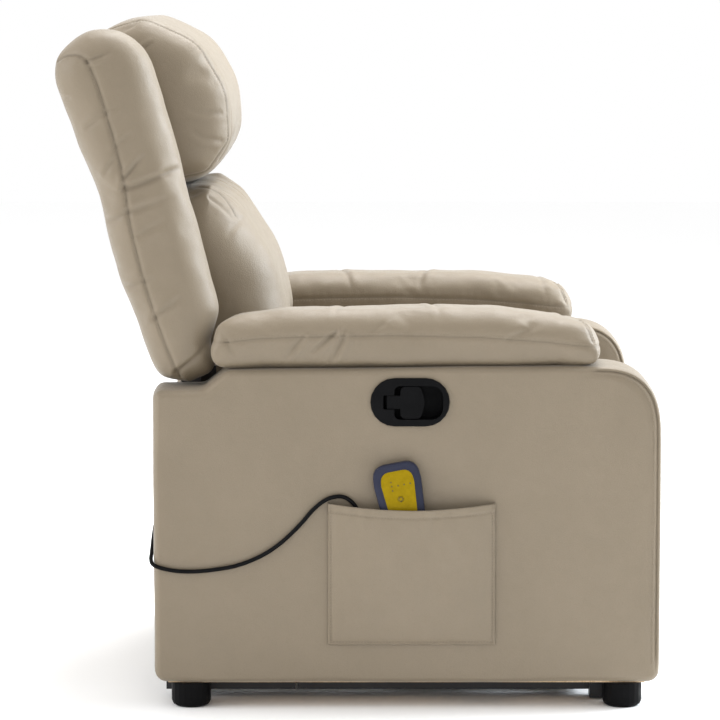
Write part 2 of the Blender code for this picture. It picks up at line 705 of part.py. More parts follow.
def make_release(chair, mats):
    outer = -HALF_WIDTH - 0.0045
    face = -HALF_WIDTH - GAP
    ends = (LEVER_X - BEZEL_LENGTH / 2 + BEZEL_HEIGHT / 2, LEVER_X + BEZEL_LENGTH / 2 - BEZEL_HEIGHT / 2)
    flange = prism(stadium((ends[0], LEVER_Z), (ends[1], LEVER_Z), BEZEL_HEIGHT / 2, 10), outer, face)
    bezel = add_object("release_bezel", finish_mesh(flange), mats["black_plastic"], chair)
    add_bevel(bezel, 0.002, 2, 60)
    walls = rounded(
        [(0.0315, 0.4275, 0.003), (0.1236, 0.4275, 0.019), (0.1236, 0.4820, 0.019), (0.0315, 0.4820, 0.003)], 4
    )
    join(bezel, "release_cup", prism(walls, outer + 0.002, -0.359), chair)
    mouth = rounded(
        [
            (0.0338, 0.4450, 0.002), (0.0500, 0.4450, 0.0), (0.0500, 0.4300, 0.008), (0.1211, 0.4300, 0.016),
            (0.1211, 0.4795, 0.016), (0.0500, 0.4795, 0.008), (0.0500, 0.4658, 0.0), (0.0338, 0.4658, 0.002),
        ],
        4,
    )
    cut(bezel, "release_mouth", prism(mouth, -0.40, -0.3615), chair)
    x, y = LEVER_PIVOT
    join(bezel, "lever_pin", rod_between((x, y, 0.4440), (x, y, 0.4668), 0.0015, 10), chair)
    make_lever(chair, mats)
    make_release_cable(chair, mats)


def make_lever(chair, mats):
    x, y = LEVER_PIVOT
    outline = rounded(
        [
            (x - 0.001, 0.4458, 0.0), (0.0587, 0.4458, 0.0), (0.0592, 0.4312, 0.007), (0.0880, 0.4312, 0.007),
            (0.0955, 0.4555, 0.03), (0.0880, 0.4783, 0.007), (0.0592, 0.4783, 0.007), (0.0587, 0.4650, 0.0),
            (x - 0.001, 0.4650, 0.0),
        ],
        3,
    )
    origin = (x, y, LEVER_Z)
    shape = prism(outline, -0.3875, -0.3812)
    lever = add_object("release_lever", finish_mesh(shape, origin), mats["black_plastic"], chair, origin)
    join(lever, "lever_barrel", rod_between((x, y, 0.4458), (x, y, 0.4650), 0.0042, 14), chair)
    cut(lever, "lever_bore", rod_between((x, y, 0.4400), (x, y, 0.4700), 0.0019, 12), chair)


def make_release_cable(chair, mats):
    tube_along("release_cable", smooth_route(CABLE_ROUTE, 36), 0.0025, chair, mats["cable"])


# ---- routes of cords -------------------------------------------------------------
def smooth_route(points, count):
    """Evenly spaced points on a Catmull-Rom curve through the given ones."""
    spots = [Vector(p) for p in points]
    spots = [2 * spots[0] - spots[1]] + spots + [2 * spots[-1] - spots[-2]]
    fine = []
    per_span = 24
    for a, b, c, d in zip(spots, spots[1:], spots[2:], spots[3:]):
        for i in range(per_span):
            t = i / per_span
            fine.append(0.5 * (2 * b + (c - a) * t + (2 * a - 5 * b + 4 * c - d) * t * t
                               + (3 * b - a - 3 * c + d) * t * t * t))
    fine.append(spots[-2])
    lengths = [0.0]
    for one, two in zip(fine, fine[1:]):
        lengths.append(lengths[-1] + (two - one).length)
    even = []
    k = 0
    for i in range(count):
        goal = lengths[-1] * i / (count - 1)
        while k < len(lengths) - 2 and lengths[k + 1] < goal:
            k += 1
        share = (goal - lengths[k]) / (lengths[k + 1] - lengths[k])
        even.append(fine[k].lerp(fine[k + 1], share))
    return even


def tube_along(name, points, radius, parent, material):
    curve = bpy.data.curves.new(name, "CURVE")
    curve.dimensions = "3D"
    curve.bevel_depth = radius
    curve.bevel_resolution = 2
    curve.use_fill_caps = True
    spline = curve.splines.new("POLY")
    spline.points.add(len(points) - 1)
    for spot, point in zip(spline.points, points):
        spot.co = (*point, 1)
    made = bpy.data.objects.new(name, curve)
    made.parent = parent
    made.data.materials.append(material)
    bpy.context.scene.collection.objects.link(made)
    return made


# ---- remote, pocket and cord ---------------------------------------------------------
def remote_outline(inset):
    foot, widest, head = 0.0257 - inset, 0.0352 - inset, 0.0328 - inset
    top = REMOTE_LENGTH - inset
    right = [(foot, inset, 0.014 - inset / 2), (widest, 0.121, 0.02), (head, top, 0.018 - inset / 2)]
    left = [(-x, z, radius) for x, z, radius in right[::-1]]
    return rounded(right + left, 4)


def make_remote(chair, mats):
    """Written in the remote's own frame: z from its foot to its head, -y out of its keypad."""
    foot = (REMOTE_FOOT[0], REMOTE_BACK, REMOTE_FOOT[1])
    remote = add_empty("remote_seat", chair, foot, (0, REMOTE_TILT, 0))
    front = -REMOTE_DEPTH
    shell = prism(remote_outline(0), front, 0)
    case = add_object("remote_case", finish_mesh(shell), mats["blue_plastic"], remote)
    add_bevel(case, 0.003, 2, 60)
    taper = [(0, 0), (0.0042, 0), (0.0060, 0.014), (0.0065, 0.022), (0, 0.022)]
    nose = lathe(taper, 12, Matrix.Translation((0, front / 2, -0.016)))
    join(case, "remote_nose", nose, remote)
    inset = 0.0105
    recess = 0.0020
    cut(case, "keypad_recess", prism(remote_outline(inset), front - 0.002, front + recess), remote)
    film = prism(remote_outline(inset + GAP), front - 0.0002, front + recess - GAP)
    keypad = add_object("remote_keypad", finish_mesh(film), mats["yellow_film"], remote)
    for name, (x, z) in BUTTONS.items():
        hole = rod_between((x, front - 0.003, z), (x, front + 0.003, z), BUTTON_R + 0.0004, 14)
        cut(keypad, f"{name}_hole", hole, remote)
        facing_out = Matrix.Translation((x, front, z)) @ Matrix.Rotation(math.pi / 2, 4, "X")
        rim = [(BUTTON_R, -0.0007), (BUTTON_R, 0.0008), (BUTTON_R - 0.0008, 0.0014)]
        made = lathe([(0, -0.0007)] + rim + [(0, 0.0015)], 14, facing_out)
        add_object(name, finish_mesh(made, (x, front, z)), mats["black_plastic"], remote, (x, front, z))


BUTTONS = {
    "power_button": (0.0, 0.0975),
    "mode_button": (-0.0080, 0.0680),
    "heat_button": (0.0080, 0.0680),
}


def pocket_bulge(across, up):
    """How far the pocket's cloth stands off the arm, from shares of its width and height."""
    side = math.sin(math.pi * across)
    rise = math.sin(math.pi / 2 * up)
    return POCKET_BULGE * math.sqrt(max(side, 0) * max(rise, 0))


def make_pocket(chair, mats):
    columns, rows = 16, 10
    sag = 0.008
    near = -HALF_WIDTH - GAP
    bm = bmesh.new()
    layers = []
    for offset in (0.0, POCKET_SHEET):
        grid = []
        for j in range(rows + 1):
            line = []
            for i in range(columns + 1):
                across, up = i / columns, j / rows
                x = POCKET_LEFT + (POCKET_RIGHT - POCKET_LEFT) * across
                top = POCKET_TOP - sag * math.sin(math.pi * across)
                z = POCKET_BOTTOM + (top - POCKET_BOTTOM) * up
                line.append(bm.verts.new((x, near - pocket_bulge(across, up) - offset, z)))
            grid.append(line)
        layers.append(grid)
    inner, outer = layers
    for j in range(rows):
        for i in range(columns):
            for grid in layers:
                bm.faces.new((grid[j][i], grid[j][i + 1], grid[j + 1][i + 1], grid[j + 1][i]))
    rim = [(0, i) for i in range(columns)] + [(j, columns) for j in range(rows)]
    rim += [(rows, i) for i in range(columns, 0, -1)] + [(j, 0) for j in range(rows, 0, -1)]
    for (j, i), (m, n) in zip(rim, rim[1:] + rim[:1]):
        bm.faces.new((inner[j][i], inner[m][n], outer[m][n], outer[j][i]))
    add_object("remote_pocket", finish_mesh(bm), mats["cover"], chair)


CORD_ROUTE = [
    (-0.2905, -0.2050, 0.2620), (-0.2907, -0.2150, 0.2620), (-0.2945, -0.2320, 0.2614),
    (-0.3025, -0.2500, 0.2595), (-0.3068, -0.2690, 0.2560), (-0.3071, -0.2980, 0.2485),
    (-0.3070, -0.3300, 0.2390), (-0.3070, -0.3560, 0.2290), (-0.3070, -0.3730, 0.2215),
    (-0.3030, -0.3852, 0.2155), (-0.2905, -0.3892, 0.2110), (-0.2700, -0.3890, 0.2070),
    (-0.2450, -0.3890, 0.2060), (-0.2150, -0.3890, 0.2085), (-0.1800, -0.3890, 0.2150),
    (-0.1450, -0.3890, 0.2290), (-0.1150, -0.3890, 0.2490), (-0.0880, -0.3890, 0.2750),
    (-0.0680, -0.3890, 0.2980), (-0.0480, -0.3890, 0.3130), (-0.0270, -0.3890, 0.3170),
    (-0.0110, -0.3892, 0.3080), (-0.0010, -0.3895, 0.2900), (0.0030, -0.3900, 0.2650),
    (0.0040, -0.3905, 0.2350), (0.0080, -0.3910, 0.2050), (0.0170, -0.3908, 0.1780),
    (0.0330, -0.3900, 0.1540), (0.0560, -0.3897, 0.1440), (0.0770, -0.3907, 0.1500),
    (0.0868, -0.3928, 0.1690), (0.0838, -0.3943, 0.1919), (0.08147, -0.3943, 0.2037),
]


def make_cord(chair, mats):
    tube_along("remote_cord", smooth_route(CORD_ROUTE, 78), CORD_R, chair, mats["cable"])
    x, y, z = CORD_ROUTE[0]
    along = Matrix.Translation((x, y + GAP, z)) @ Matrix.Rotation(-math.pi / 2, 4, "X")
    length = 0.026
    profile = [(0, 0), (0.0040, 0), (0.0046, 0.008), (0.0058, 0.018), (0.0065, length), (0, length)]
    gland = add_object("cord_gland", finish_mesh(lathe(profile, 14, along)), mats["black_plastic"], chair)
    foot = block((-0.2965, -0.2833), (y + length - 0.004, y + length + 0.016), (z - 0.010, z + 0.010))
    join(gland, "cord_gland_foot", foot, chair)


def main():
    clear_scene()
    mats = make_materials()
    chair = add_empty("chair", None, (0, MID_Y, 0))
    make_feet(chair, mats)
    make_base(chair, mats)
    make_fixed_plates(chair, mats)
    make_arms(chair, mats)
    make_rear_panel(chair, mats)
    make_seat(chair, mats)
    make_linkage(chair, mats)
    make_backrest(chair, mats)
    make_electronics(chair, mats)
    make_release(chair, mats)
    make_remote(chair, mats)
    make_pocket(chair, mats)
    make_cord(chair, mats)


main()
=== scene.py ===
"""Looks of the massage recliner: sewn and padded leather, seams, stitches, plastics and steel.

Metres, in the frame's axes. Shapes on the backrest are worked out in the backrest's own frame,
whose x runs out of its front and whose z runs up it from the recline axis.
"""

import json
import math

import bmesh
import bpy
import numpy as np
from mathutils import Matrix, Vector, geometry, noise
from mathutils.bvhtree import BVHTree


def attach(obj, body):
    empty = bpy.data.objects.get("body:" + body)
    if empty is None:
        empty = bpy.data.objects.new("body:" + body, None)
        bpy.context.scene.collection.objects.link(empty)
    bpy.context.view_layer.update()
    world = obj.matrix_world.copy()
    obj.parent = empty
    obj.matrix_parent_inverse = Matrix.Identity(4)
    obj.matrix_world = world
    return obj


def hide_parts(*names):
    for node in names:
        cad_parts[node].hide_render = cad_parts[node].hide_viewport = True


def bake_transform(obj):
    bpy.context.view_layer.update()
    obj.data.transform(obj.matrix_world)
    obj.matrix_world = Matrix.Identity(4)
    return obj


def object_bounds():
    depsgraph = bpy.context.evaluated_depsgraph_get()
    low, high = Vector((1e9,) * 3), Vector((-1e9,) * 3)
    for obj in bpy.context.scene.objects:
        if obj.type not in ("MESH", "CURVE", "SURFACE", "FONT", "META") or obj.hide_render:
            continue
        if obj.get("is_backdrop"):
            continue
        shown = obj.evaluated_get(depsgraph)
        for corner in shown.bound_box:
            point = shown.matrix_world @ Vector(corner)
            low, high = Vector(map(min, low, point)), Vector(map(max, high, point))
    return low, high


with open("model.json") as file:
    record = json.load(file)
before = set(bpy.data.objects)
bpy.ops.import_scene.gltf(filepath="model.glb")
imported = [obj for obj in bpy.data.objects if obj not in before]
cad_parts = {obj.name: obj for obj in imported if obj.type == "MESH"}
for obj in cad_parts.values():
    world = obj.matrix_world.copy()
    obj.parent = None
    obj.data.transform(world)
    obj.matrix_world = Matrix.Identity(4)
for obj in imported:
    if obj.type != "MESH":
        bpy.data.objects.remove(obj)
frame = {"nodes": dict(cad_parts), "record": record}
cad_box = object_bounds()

NODES = frame["nodes"]
MID_Y = 0.0124                   # the chair's mid-plane, beside the middle of its outline
BACK_PIVOT = Vector((-0.255, MID_Y, 0.530))
BACK_TILT = math.radians(-18)
BACK = Matrix.Translation(BACK_PIVOT) @ Matrix.Rotation(BACK_TILT, 4, "Y")
CHAIR = Matrix.Translation((0, MID_Y, 0))
REMOTE = (Matrix.Translation((0.0783, MID_Y - 0.3863, 0.2197))
          @ Matrix.Rotation(math.radians(-11.2), 4, "Y"))
ARM_FACE, ARM_INNER = 0.385, 0.260   # an arm's outer and inner faces, from the mid-plane
RIGHT, LEFT = -1, 1
SIM_FRAMES = 20
CREASE_WIDTH = 0.78              # how sharp every fold is, as a share of its stated width
SEAM_LINE = 0.0006               # radius of the line at the bottom of a seam, coloured dark as painted shade
CAMERA_PLACE = (0, MID_Y - 5.16, 1.036)
CAMERA_DROP = 6.2                # degrees that the camera looks down


# ---- camera, floor and lights --------------------------------------------------
def make_camera():
    camera = bpy.data.objects.new("camera", bpy.data.cameras.new("camera"))
    camera.data.lens = 165
    camera.data.sensor_width = 36
    camera.data.clip_end = 50
    camera.location = CAMERA_PLACE
    camera.rotation_euler = (math.radians(90 - CAMERA_DROP), 0, 0)
    bpy.context.scene.collection.objects.link(camera)
    bpy.context.scene.camera = camera


def add_area(name, place, target, size, power, colour=(1, 1, 1)):
    light = bpy.data.lights.new(name, "AREA")
    light.shape = "RECTANGLE"
    light.size, light.size_y = size
    light.energy = power
    light.color = colour
    made = bpy.data.objects.new(name, light)
    made.location = place
    made.rotation_euler = (Vector(target) - Vector(place)).to_track_quat("-Z", "Y").to_euler()
    bpy.context.scene.collection.objects.link(made)


def make_studio():
    scene = bpy.context.scene
    scene.view_settings.view_transform = "Standard"
    world = bpy.data.worlds.new("studio")
    scene.world = world
    world.use_nodes = True
    sky = world.node_tree.nodes["Background"]
    sky.inputs["Color"].default_value = (1.0, 1.0, 1.0, 1)
    sky.inputs["Strength"].default_value = 1.0

    mesh = bpy.data.meshes.new("floor")
    reach = 12
    corners = [(-reach, -reach, 0), (reach, -reach, 0), (reach, reach, 0), (-reach, reach, 0)]
    mesh.from_pydata(corners, [], [(0, 1, 2, 3)])
    floor = bpy.data.objects.new("floor", mesh)
    scene.collection.objects.link(floor)
    floor.data.materials.append(floor_material())
    floor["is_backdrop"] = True
    add_area("key", (3.3, 0.9, 2.1), (0.0, 0.0, 0.6), (2.2, 2.2), 220, (0.86, 0.93, 1.0))
    add_area("fill", (-4.0, -1.2, 2.0), (0.0, 0.0, 0.6), (2.2, 2.2), 85)
    add_area("top", (0.5, 0.8, 3.4), (0.0, 0.0, 0.5), (2.2, 2.2), 125)


def floor_material():
    made = bpy.data.materials.new("floor")
    made.use_nodes = True
    shader = made.node_tree.nodes["Principled BSDF"]
    shader.inputs["Base Color"].default_value = (0.985, 0.985, 0.985, 1)
    shader.inputs["Roughness"].default_value = 0.9
    shader.inputs["Specular IOR Level"].default_value = 0.1
    return made


# ---- materials -----------------------------------------------------------------
class Graph:
    """A few short ways to add nodes to one material."""

    def __init__(self, name):
        self.material = bpy.data.materials.new(name)
        self.material.use_nodes = True
        self.tree = self.material.node_tree
        self.shader = self.tree.nodes["Principled BSDF"]
        self.place = self.add("ShaderNodeTexCoord").outputs["Object"]

    def add(self, kind, **values):
        node = self.tree.nodes.new(kind)
        for key, value in values.items():
            setattr(node, key, value)
        return node

    def link(self, source, target):
        self.tree.links.new(source, target)

    def stretched(self, scale, turn=(0, 0, 0)):
        mapping = self.add("ShaderNodeMapping")
        mapping.inputs["Scale"].default_value = scale
        mapping.inputs["Rotation"].default_value = turn
        self.link(self.place, mapping.inputs["Vector"])
        return mapping.outputs["Vector"]

    def noise(self, scale, detail=2.0, roughness=0.5, place=None):
        node = self.add("ShaderNodeTexNoise")
        node.inputs["Scale"].default_value = scale
        node.inputs["Detail"].default_value = detail
        node.inputs["Roughness"].default_value = roughness
        self.link(place or self.place, node.inputs["Vector"])
        return node.outputs["Fac"]

    def cells(self, scale, feature="DISTANCE_TO_EDGE", place=None):
        node = self.add("ShaderNodeTexVoronoi", feature=feature)
        node.inputs["Scale"].default_value = scale
        self.link(place or self.place, node.inputs["Vector"])
        return node.outputs["Distance"]

    def attribute(self, name):
        return self.add("ShaderNodeAttribute", attribute_name=name).outputs["Fac"]

    def remap(self, source, low, high, to_low, to_high):
        node = self.add("ShaderNodeMapRange")
        names = ("From Min", "From Max", "To Min", "To Max")
        for key, value in zip(names, (low, high, to_low, to_high)):
            node.inputs[key].default_value = value
        self.link(source, node.inputs["Value"])
        return node.outputs["Result"]

    def feed(self, socket, value):
        """Links an output to a socket, or sets the socket's own value."""
        if isinstance(value, bpy.types.NodeSocket):
            self.link(value, socket)
        else:
            socket.default_value = value

    def maths(self, operation, a, b):
        node = self.add("ShaderNodeMath", operation=operation)
        for socket, value in zip(node.inputs, (a, b)):
            self.feed(socket, value)
        return node.outputs["Value"]

    def mix(self, share, a, b):
        """Colour a where share is 0 and b where it is 1."""
        node = self.add("ShaderNodeMix", data_type="RGBA")
        self.feed(node.inputs["Factor"], share)
        for socket, value in ((node.inputs[6], a), (node.inputs[7], b)):
            self.feed(socket, (*value, 1) if isinstance(value, tuple) else value)
        return node.outputs[2]

    def bump(self, height, strength, distance, under=None):
        node = self.add("ShaderNodeBump")
        node.inputs["Strength"].default_value = strength
        node.inputs["Distance"].default_value = distance
        self.link(height, node.inputs["Height"])
        if under:
            self.link(under, node.inputs["Normal"])
        return node.outputs["Normal"]

    def finish(self, colour, roughness, normal, **constants):
        """Feeds the shader. The constants are its sockets' names, with _ for a space."""
        sources = {"Base Color": colour, "Roughness": roughness, "Normal": normal, **constants}
        for name, source in sources.items():
            self.feed(self.shader.inputs[name.replace("_", " ")], source)
        return self.material


def leather(name, light, dark, grain=1.0):
    """Coated leather: soft mottling, pebbled grain and fine pores, with painted shade darkening it in
    seams and folds.
    """
    g = Graph(name)
    mottle = g.noise(7, 4, 0.6)
    blotch = g.noise(38, 3, 0.6)
    tone = g.maths("ADD", g.maths("MULTIPLY", mottle, 0.7), g.maths("MULTIPLY", blotch, 0.3))
    colour = g.mix(g.remap(tone, 0.35, 0.65, 0, 1), dark, light)
    # painted shade: where the vertex attribute marks a seam or a crease, the colour is drawn towards a
    # deep tone (also used at the grain's cell edges) and the roughness is raised
    fold_shade = g.attribute("fold_shade")
    deep = tuple(v * 0.45 for v in dark)
    colour = g.mix(g.remap(fold_shade, 0, 1, 0, 0.45), colour, deep)
    pebble = g.cells(620)
    crackle = g.cells(210, place=g.stretched((1, 1, 0.8), (0.3, 0.5, 0.2)))
    pores = g.noise(1500, 1)
    pebbled = g.remap(pebble, 0.0, 0.35, 0, 1)
    colour = g.mix(g.remap(pebble, 0.0, 0.10, 0.16, 0), colour, deep)
    height = g.maths("ADD", pebbled, g.maths("MULTIPLY", g.remap(crackle, 0, 0.1, 0, 1), 0.5))
    height = g.maths("ADD", height, g.maths("MULTIPLY", pores, 0.25))
    fine = g.bump(height, 0.30 * grain, 0.0005)
    wavy = g.bump(g.noise(26, 3, 0.55), 0.22, 0.004, fine)
    rough = g.remap(g.noise(55, 3), 0.3, 0.7, 0.44, 0.56)
    rough = g.maths("ADD", rough, g.maths("MULTIPLY", fold_shade, 0.15))
    return g.finish(colour, rough, wavy, Specular_IOR_Level=0.42, Coat_Weight=0.08,
                    Coat_Roughness=0.4, Sheen_Weight=0.14, Sheen_Roughness=0.45)


def thread_material(colour):
    g = Graph("thread")
    twist = g.add("ShaderNodeTexWave", wave_type="BANDS", bands_direction="DIAGONAL")
    twist.inputs["Scale"].default_value = 700
    g.link(g.place, twist.inputs["Vector"])
    strand = twist.outputs["Fac"]
    tint = g.mix(strand, tuple(v * 0.7 for v in colour), colour)
    return g.finish(tint, g.remap(strand, 0, 1, 0.6, 0.8), g.bump(strand, 0.5, 0.0002))


def plastic(name, colour, roughness, texture, **constants):
    """Moulded plastic with a fine eroded texture, faint flow marks and handling polish."""
    g = Graph(name)
    grain = g.noise(1400, 2, 0.6)
    flow = g.noise(9, 3, 0.5, g.stretched((1, 1, 3)))
    bright = tuple(v * 1.35 + 0.0015 for v in colour)
    tint = g.mix(g.remap(flow, 0.3, 0.7, 0, 1), colour, bright)
    worn = g.remap(g.noise(60, 4, 0.6), 0.35, 0.7, roughness - 0.07, roughness + 0.09)
    return g.finish(tint, worn, g.bump(grain, texture, 0.0003), **constants)


def powder_coat(name, colour):
    g = Graph(name)
    peel = g.noise(420, 2, 0.5)
    dust = g.noise(14, 5, 0.65)
    pale = tuple(v * 1.7 + 0.01 for v in colour)
    tint = g.mix(g.remap(dust, 0.5, 0.8, 0, 1), colour, pale)
    return g.finish(tint, g.remap(dust, 0.3, 0.8, 0.38, 0.62), g.bump(peel, 0.3, 0.0004), Metallic=0.35)


def zinc_plate():
    g = Graph("zinc")
    spangle = g.cells(160, "F1")
    brush = g.noise(900, 2, 0.5, g.stretched((1, 1, 0.05)))
    tint = g.mix(g.remap(spangle, 0, 0.6, 0, 1), (0.47, 0.48, 0.50), (0.66, 0.66, 0.64))
    rough = g.remap(brush, 0.3, 0.7, 0.26, 0.46)
    return g.finish(tint, rough, g.bump(brush, 0.2, 0.0002), Metallic=1.0)


def birch_ply():
    """Raw plywood: long grain on the faces and thin dark glue lines on the edges."""
    g = Graph("plywood")
    grain = g.noise(34, 6, 0.62, g.stretched((9, 9, 1)))
    pore = g.noise(260, 3, 0.6, g.stretched((5, 5, 0.5)))
    plies = g.add("ShaderNodeTexWave", wave_type="BANDS", bands_direction="Y")
    plies.inputs["Scale"].default_value = 105
    plies.inputs["Distortion"].default_value = 1.2
    g.link(g.place, plies.inputs["Vector"])
    tint = g.mix(g.remap(grain, 0.35, 0.65, 0, 1), (0.47, 0.31, 0.17), (0.66, 0.50, 0.32))
    tint = g.mix(g.remap(plies.outputs["Fac"], 0.0, 0.16, 0.35, 0), tint, (0.22, 0.13, 0.06))
    return g.finish(tint, g.remap(pore, 0.3, 0.7, 0.62, 0.82), g.bump(pore, 0.35, 0.0004))


def cable_rubber():
    g = Graph("cable")
    streak = g.noise(80, 3, 0.6)
    black, worn = (0.0025, 0.0025, 0.0028), (0.006, 0.006, 0.0065)
    tint = g.mix(g.remap(streak, 0.35, 0.7, 0, 1), black, worn)
    bump = g.bump(g.noise(900, 2), 0.2, 0.0002)
    return g.finish(tint, g.remap(streak, 0.3, 0.7, 0.42, 0.56), bump, Specular_IOR_Level=0.07)


def printed_film():
    """The remote's yellow overlay, with a faint emboss and rubbed places."""
    g = Graph("film")
    rub = g.noise(120, 4, 0.6)
    yellow, rubbed = (0.240, 0.162, 0.0015), (0.280, 0.192, 0.003)
    tint = g.mix(g.remap(rub, 0.35, 0.7, 0, 1), yellow, rubbed)
    bump = g.bump(g.noise(1800, 1), 0.12, 0.0002)
    return g.finish(tint, g.remap(rub, 0.3, 0.7, 0.36, 0.50), bump, Specular_IOR_Level=0.06)


def make_materials():
    """One material for each of the record's slots, and those of the seams, threads and print."""
    light, dark = (0.211, 0.168, 0.114), (0.195, 0.155, 0.104)
    # the seam lines' tones: the leather's, darkened as painted shade for the shaded gap at a seam's
    # bottom
    seam_light, seam_dark = tuple(v * 0.7 for v in light), tuple(v * 0.65 for v in dark)
    black, blue, ink = (0.0022, 0.0022, 0.0025), (0.018, 0.020, 0.036), (0.035, 0.028, 0.012)
    return {
        "leather": leather("leather", light, dark),
        # painted shade: darker leather for the thin lines at the bottom of seams
        "seam_shade_line": leather("seam_shade_line", seam_light, seam_dark, 0.6),
        "thread": thread_material((0.27, 0.215, 0.15)),
        "black_plastic": plastic("black_plastic", black, 0.50, 0.30, Specular_IOR_Level=0.06),
        "blue_plastic": plastic("blue_plastic", blue, 0.46, 0.18, Specular_IOR_Level=0.12),
        "steel": powder_coat("steel", (0.022, 0.022, 0.024)),
        "zinc": zinc_plate(),
        "plywood": birch_ply(),
        "cable": cable_rubber(),
        "yellow_film": printed_film(),
        "ink": plastic("ink", ink, 0.5, 0.1),
    }


# ---- mesh helpers ----------------------------------------------------------------
def coordinates(mesh):
    co = np.empty(len(mesh.vertices) * 3, np.float64)
    mesh.vertices.foreach_get("co", co)
    return co.reshape(-1, 3)


def normals(mesh):
    found = np.empty(len(mesh.vertices) * 3, np.float64)
    mesh.vertex_normals.foreach_get("vector", found)
    return found.reshape(-1, 3)


def set_coordinates(mesh, co):
    mesh.vertices.foreach_set("co", np.ascontiguousarray(co, np.float64).ravel())
    mesh.update()


def neighbours(mesh):
    edges = np.empty(len(mesh.edges) * 2, np.int64)
    mesh.edges.foreach_get("vertices", edges)
    return edges.reshape(-1, 2)


def relax(co, edges, rounds, share=0.5, weight=None):
    """Moves each vertex towards the mean of its neighbours, less where weight is low."""
    count = np.bincount(edges.ravel(), minlength=len(co))[:, None]
    step = share if weight is None else share * weight[:, None]
    for _ in range(rounds):
        total = np.zeros_like(co)
        np.add.at(total, edges[:, 0], co[edges[:, 1]])
        np.add.at(total, edges[:, 1], co[edges[:, 0]])
        co = co + step * (total / np.maximum(count, 1) - co)
    return co


def path_distance(points, path, closed=False):
    """Each point's distance to a path, its share along it and the side that it lies on."""
    path = np.array(path, float)
    ends = np.roll(path, -1, 0) if closed else path[1:]
    starts = path if closed else path[:-1]
    spans = ends - starts
    lengths = np.linalg.norm(spans, axis=1)
    before = np.concatenate([[0], np.cumsum(lengths)])
    best = np.full(len(points), 1e9)
    along = np.zeros(len(points))
    side = np.ones(len(points))
    for a, span, length, start in zip(starts, spans, lengths, before):
        t = np.clip((points - a) @ span / max(length * length, 1e-12), 0, 1)
        offset = points - (a + t[:, None] * span)
        d = np.linalg.norm(offset, axis=1)
        nearer = d < best
        best[nearer] = d[nearer]
        along[nearer] = ((start + t * length) / before[-1])[nearer]
        if points.shape[1] == 2:
            side[nearer] = np.sign(span[0] * offset[:, 1] - span[1] * offset[:, 0])[nearer]
    return best, along, side


def smooth_path(points, count, closed=False):
    """Evenly spaced points on a Catmull-Rom curve through the given ones."""
    spots = [Vector(p) for p in points]
    if closed:
        spots = [spots[-1]] + spots + spots[:2]
    else:
        spots = [2 * spots[0] - spots[1]] + spots + [2 * spots[-1] - spots[-2]]
    fine = []
    per_span = 24
    for a, b, c, d in zip(spots, spots[1:], spots[2:], spots[3:]):
        for i in range(per_span):
            t = i / per_span
            fine.append(0.5 * (2 * b + (c - a) * t + (2 * a - 5 * b + 4 * c - d) * t * t
                               + (3 * b - a - 3 * c + d) * t * t * t))
    fine.append(spots[-2])
    lengths = [0.0]
    for one, two in zip(fine, fine[1:]):
        lengths.append(lengths[-1] + (two - one).length)
    even = []
    k = 0
    total = count if closed else count - 1
    for i in range(count):
        goal = lengths[-1] * i / total
        while k < len(lengths) - 2 and lengths[k + 1] < goal:
            k += 1
        share = (goal - lengths[k]) / (lengths[k + 1] - lengths[k])
        even.append(fine[k].lerp(fine[k + 1], share))
    return even


def finished(bm):
    """The mesh of a bmesh, which isn't needed any more."""
    mesh = bpy.data.meshes.new("made")
    bm.to_mesh(mesh)
    bm.free()
    return mesh


def add_piece(name, mesh, material, body, matrix=None):
    mesh.name = name
    if matrix is not None:
        mesh.transform(matrix)
    made = bpy.data.objects.new(name, mesh)
    if not mesh.materials:
        mesh.materials.append(material)
    bpy.context.scene.collection.objects.link(made)
    mesh.polygons.foreach_set("use_smooth", np.ones(len(mesh.polygons), bool))
    if body:
        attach(made, body)
    return made


def apply_modifiers(made):
    depsgraph = bpy.context.evaluated_depsgraph_get()
    mesh = bpy.data.meshes.new_from_object(made.evaluated_get(depsgraph))
    made.modifiers.clear()
    old = made.data
    made.data = mesh
    bpy.data.meshes.remove(old)


def remeshed(source, voxel):
    """A temporary object with an even closed mesh of the source mesh."""
    made = bpy.data.objects.new("blank", source)
    bpy.context.scene.collection.objects.link(made)
    modifier = made.modifiers.new("remesh", "REMESH")
    modifier.mode = "VOXEL"
    modifier.voxel_size = voxel
    apply_modifiers(made)
    return made


def outline_of(mesh):
    """The hull of a mesh seen along Y, as (x, z) points in order."""
    flat = sorted({(round(v.co.x, 5), round(v.co.z, 5)) for v in mesh.vertices})
    return [Vector(flat[i]) for i in geometry.convex_hull_2d(flat)]


def inset_outline(outline, distance):
    """The outline moved inwards, by its edges' lines."""
    area = sum(a.x * b.y - b.x * a.y for a, b in zip(outline, outline[1:] + outline[:1]))
    turn = 1 if area > 0 else -1
    moved = []
    for i, here in enumerate(outline):
        a = (here - outline[i - 1]).normalized()
        b = (outline[(i + 1) % len(outline)] - here).normalized()
        inward = Vector((-(a + b).y, (a + b).x)).normalized() * turn
        spread = max(0.5, math.cos(a.angle(b) / 2))
        moved.append(here + inward * distance / spread)
    return moved


# ---- cushions ----------------------------------------------------------------------
def local_copy(node, place):
    """A CAD node's mesh, in the given frame and without its material."""
    mesh = NODES[node].data.copy()
    mesh.materials.clear()
    mesh.transform(place.inverted())
    bm = bmesh.new()
    bm.from_mesh(mesh)
    bmesh.ops.remove_doubles(bm, verts=bm.verts, dist=1e-6)
    bm.to_mesh(mesh)
    bm.free()
    return mesh


def tree_of(mesh):
    bm = bmesh.new()
    bm.from_mesh(mesh)
    tree = BVHTree.FromBMesh(bm)
    bm.free()
    return tree


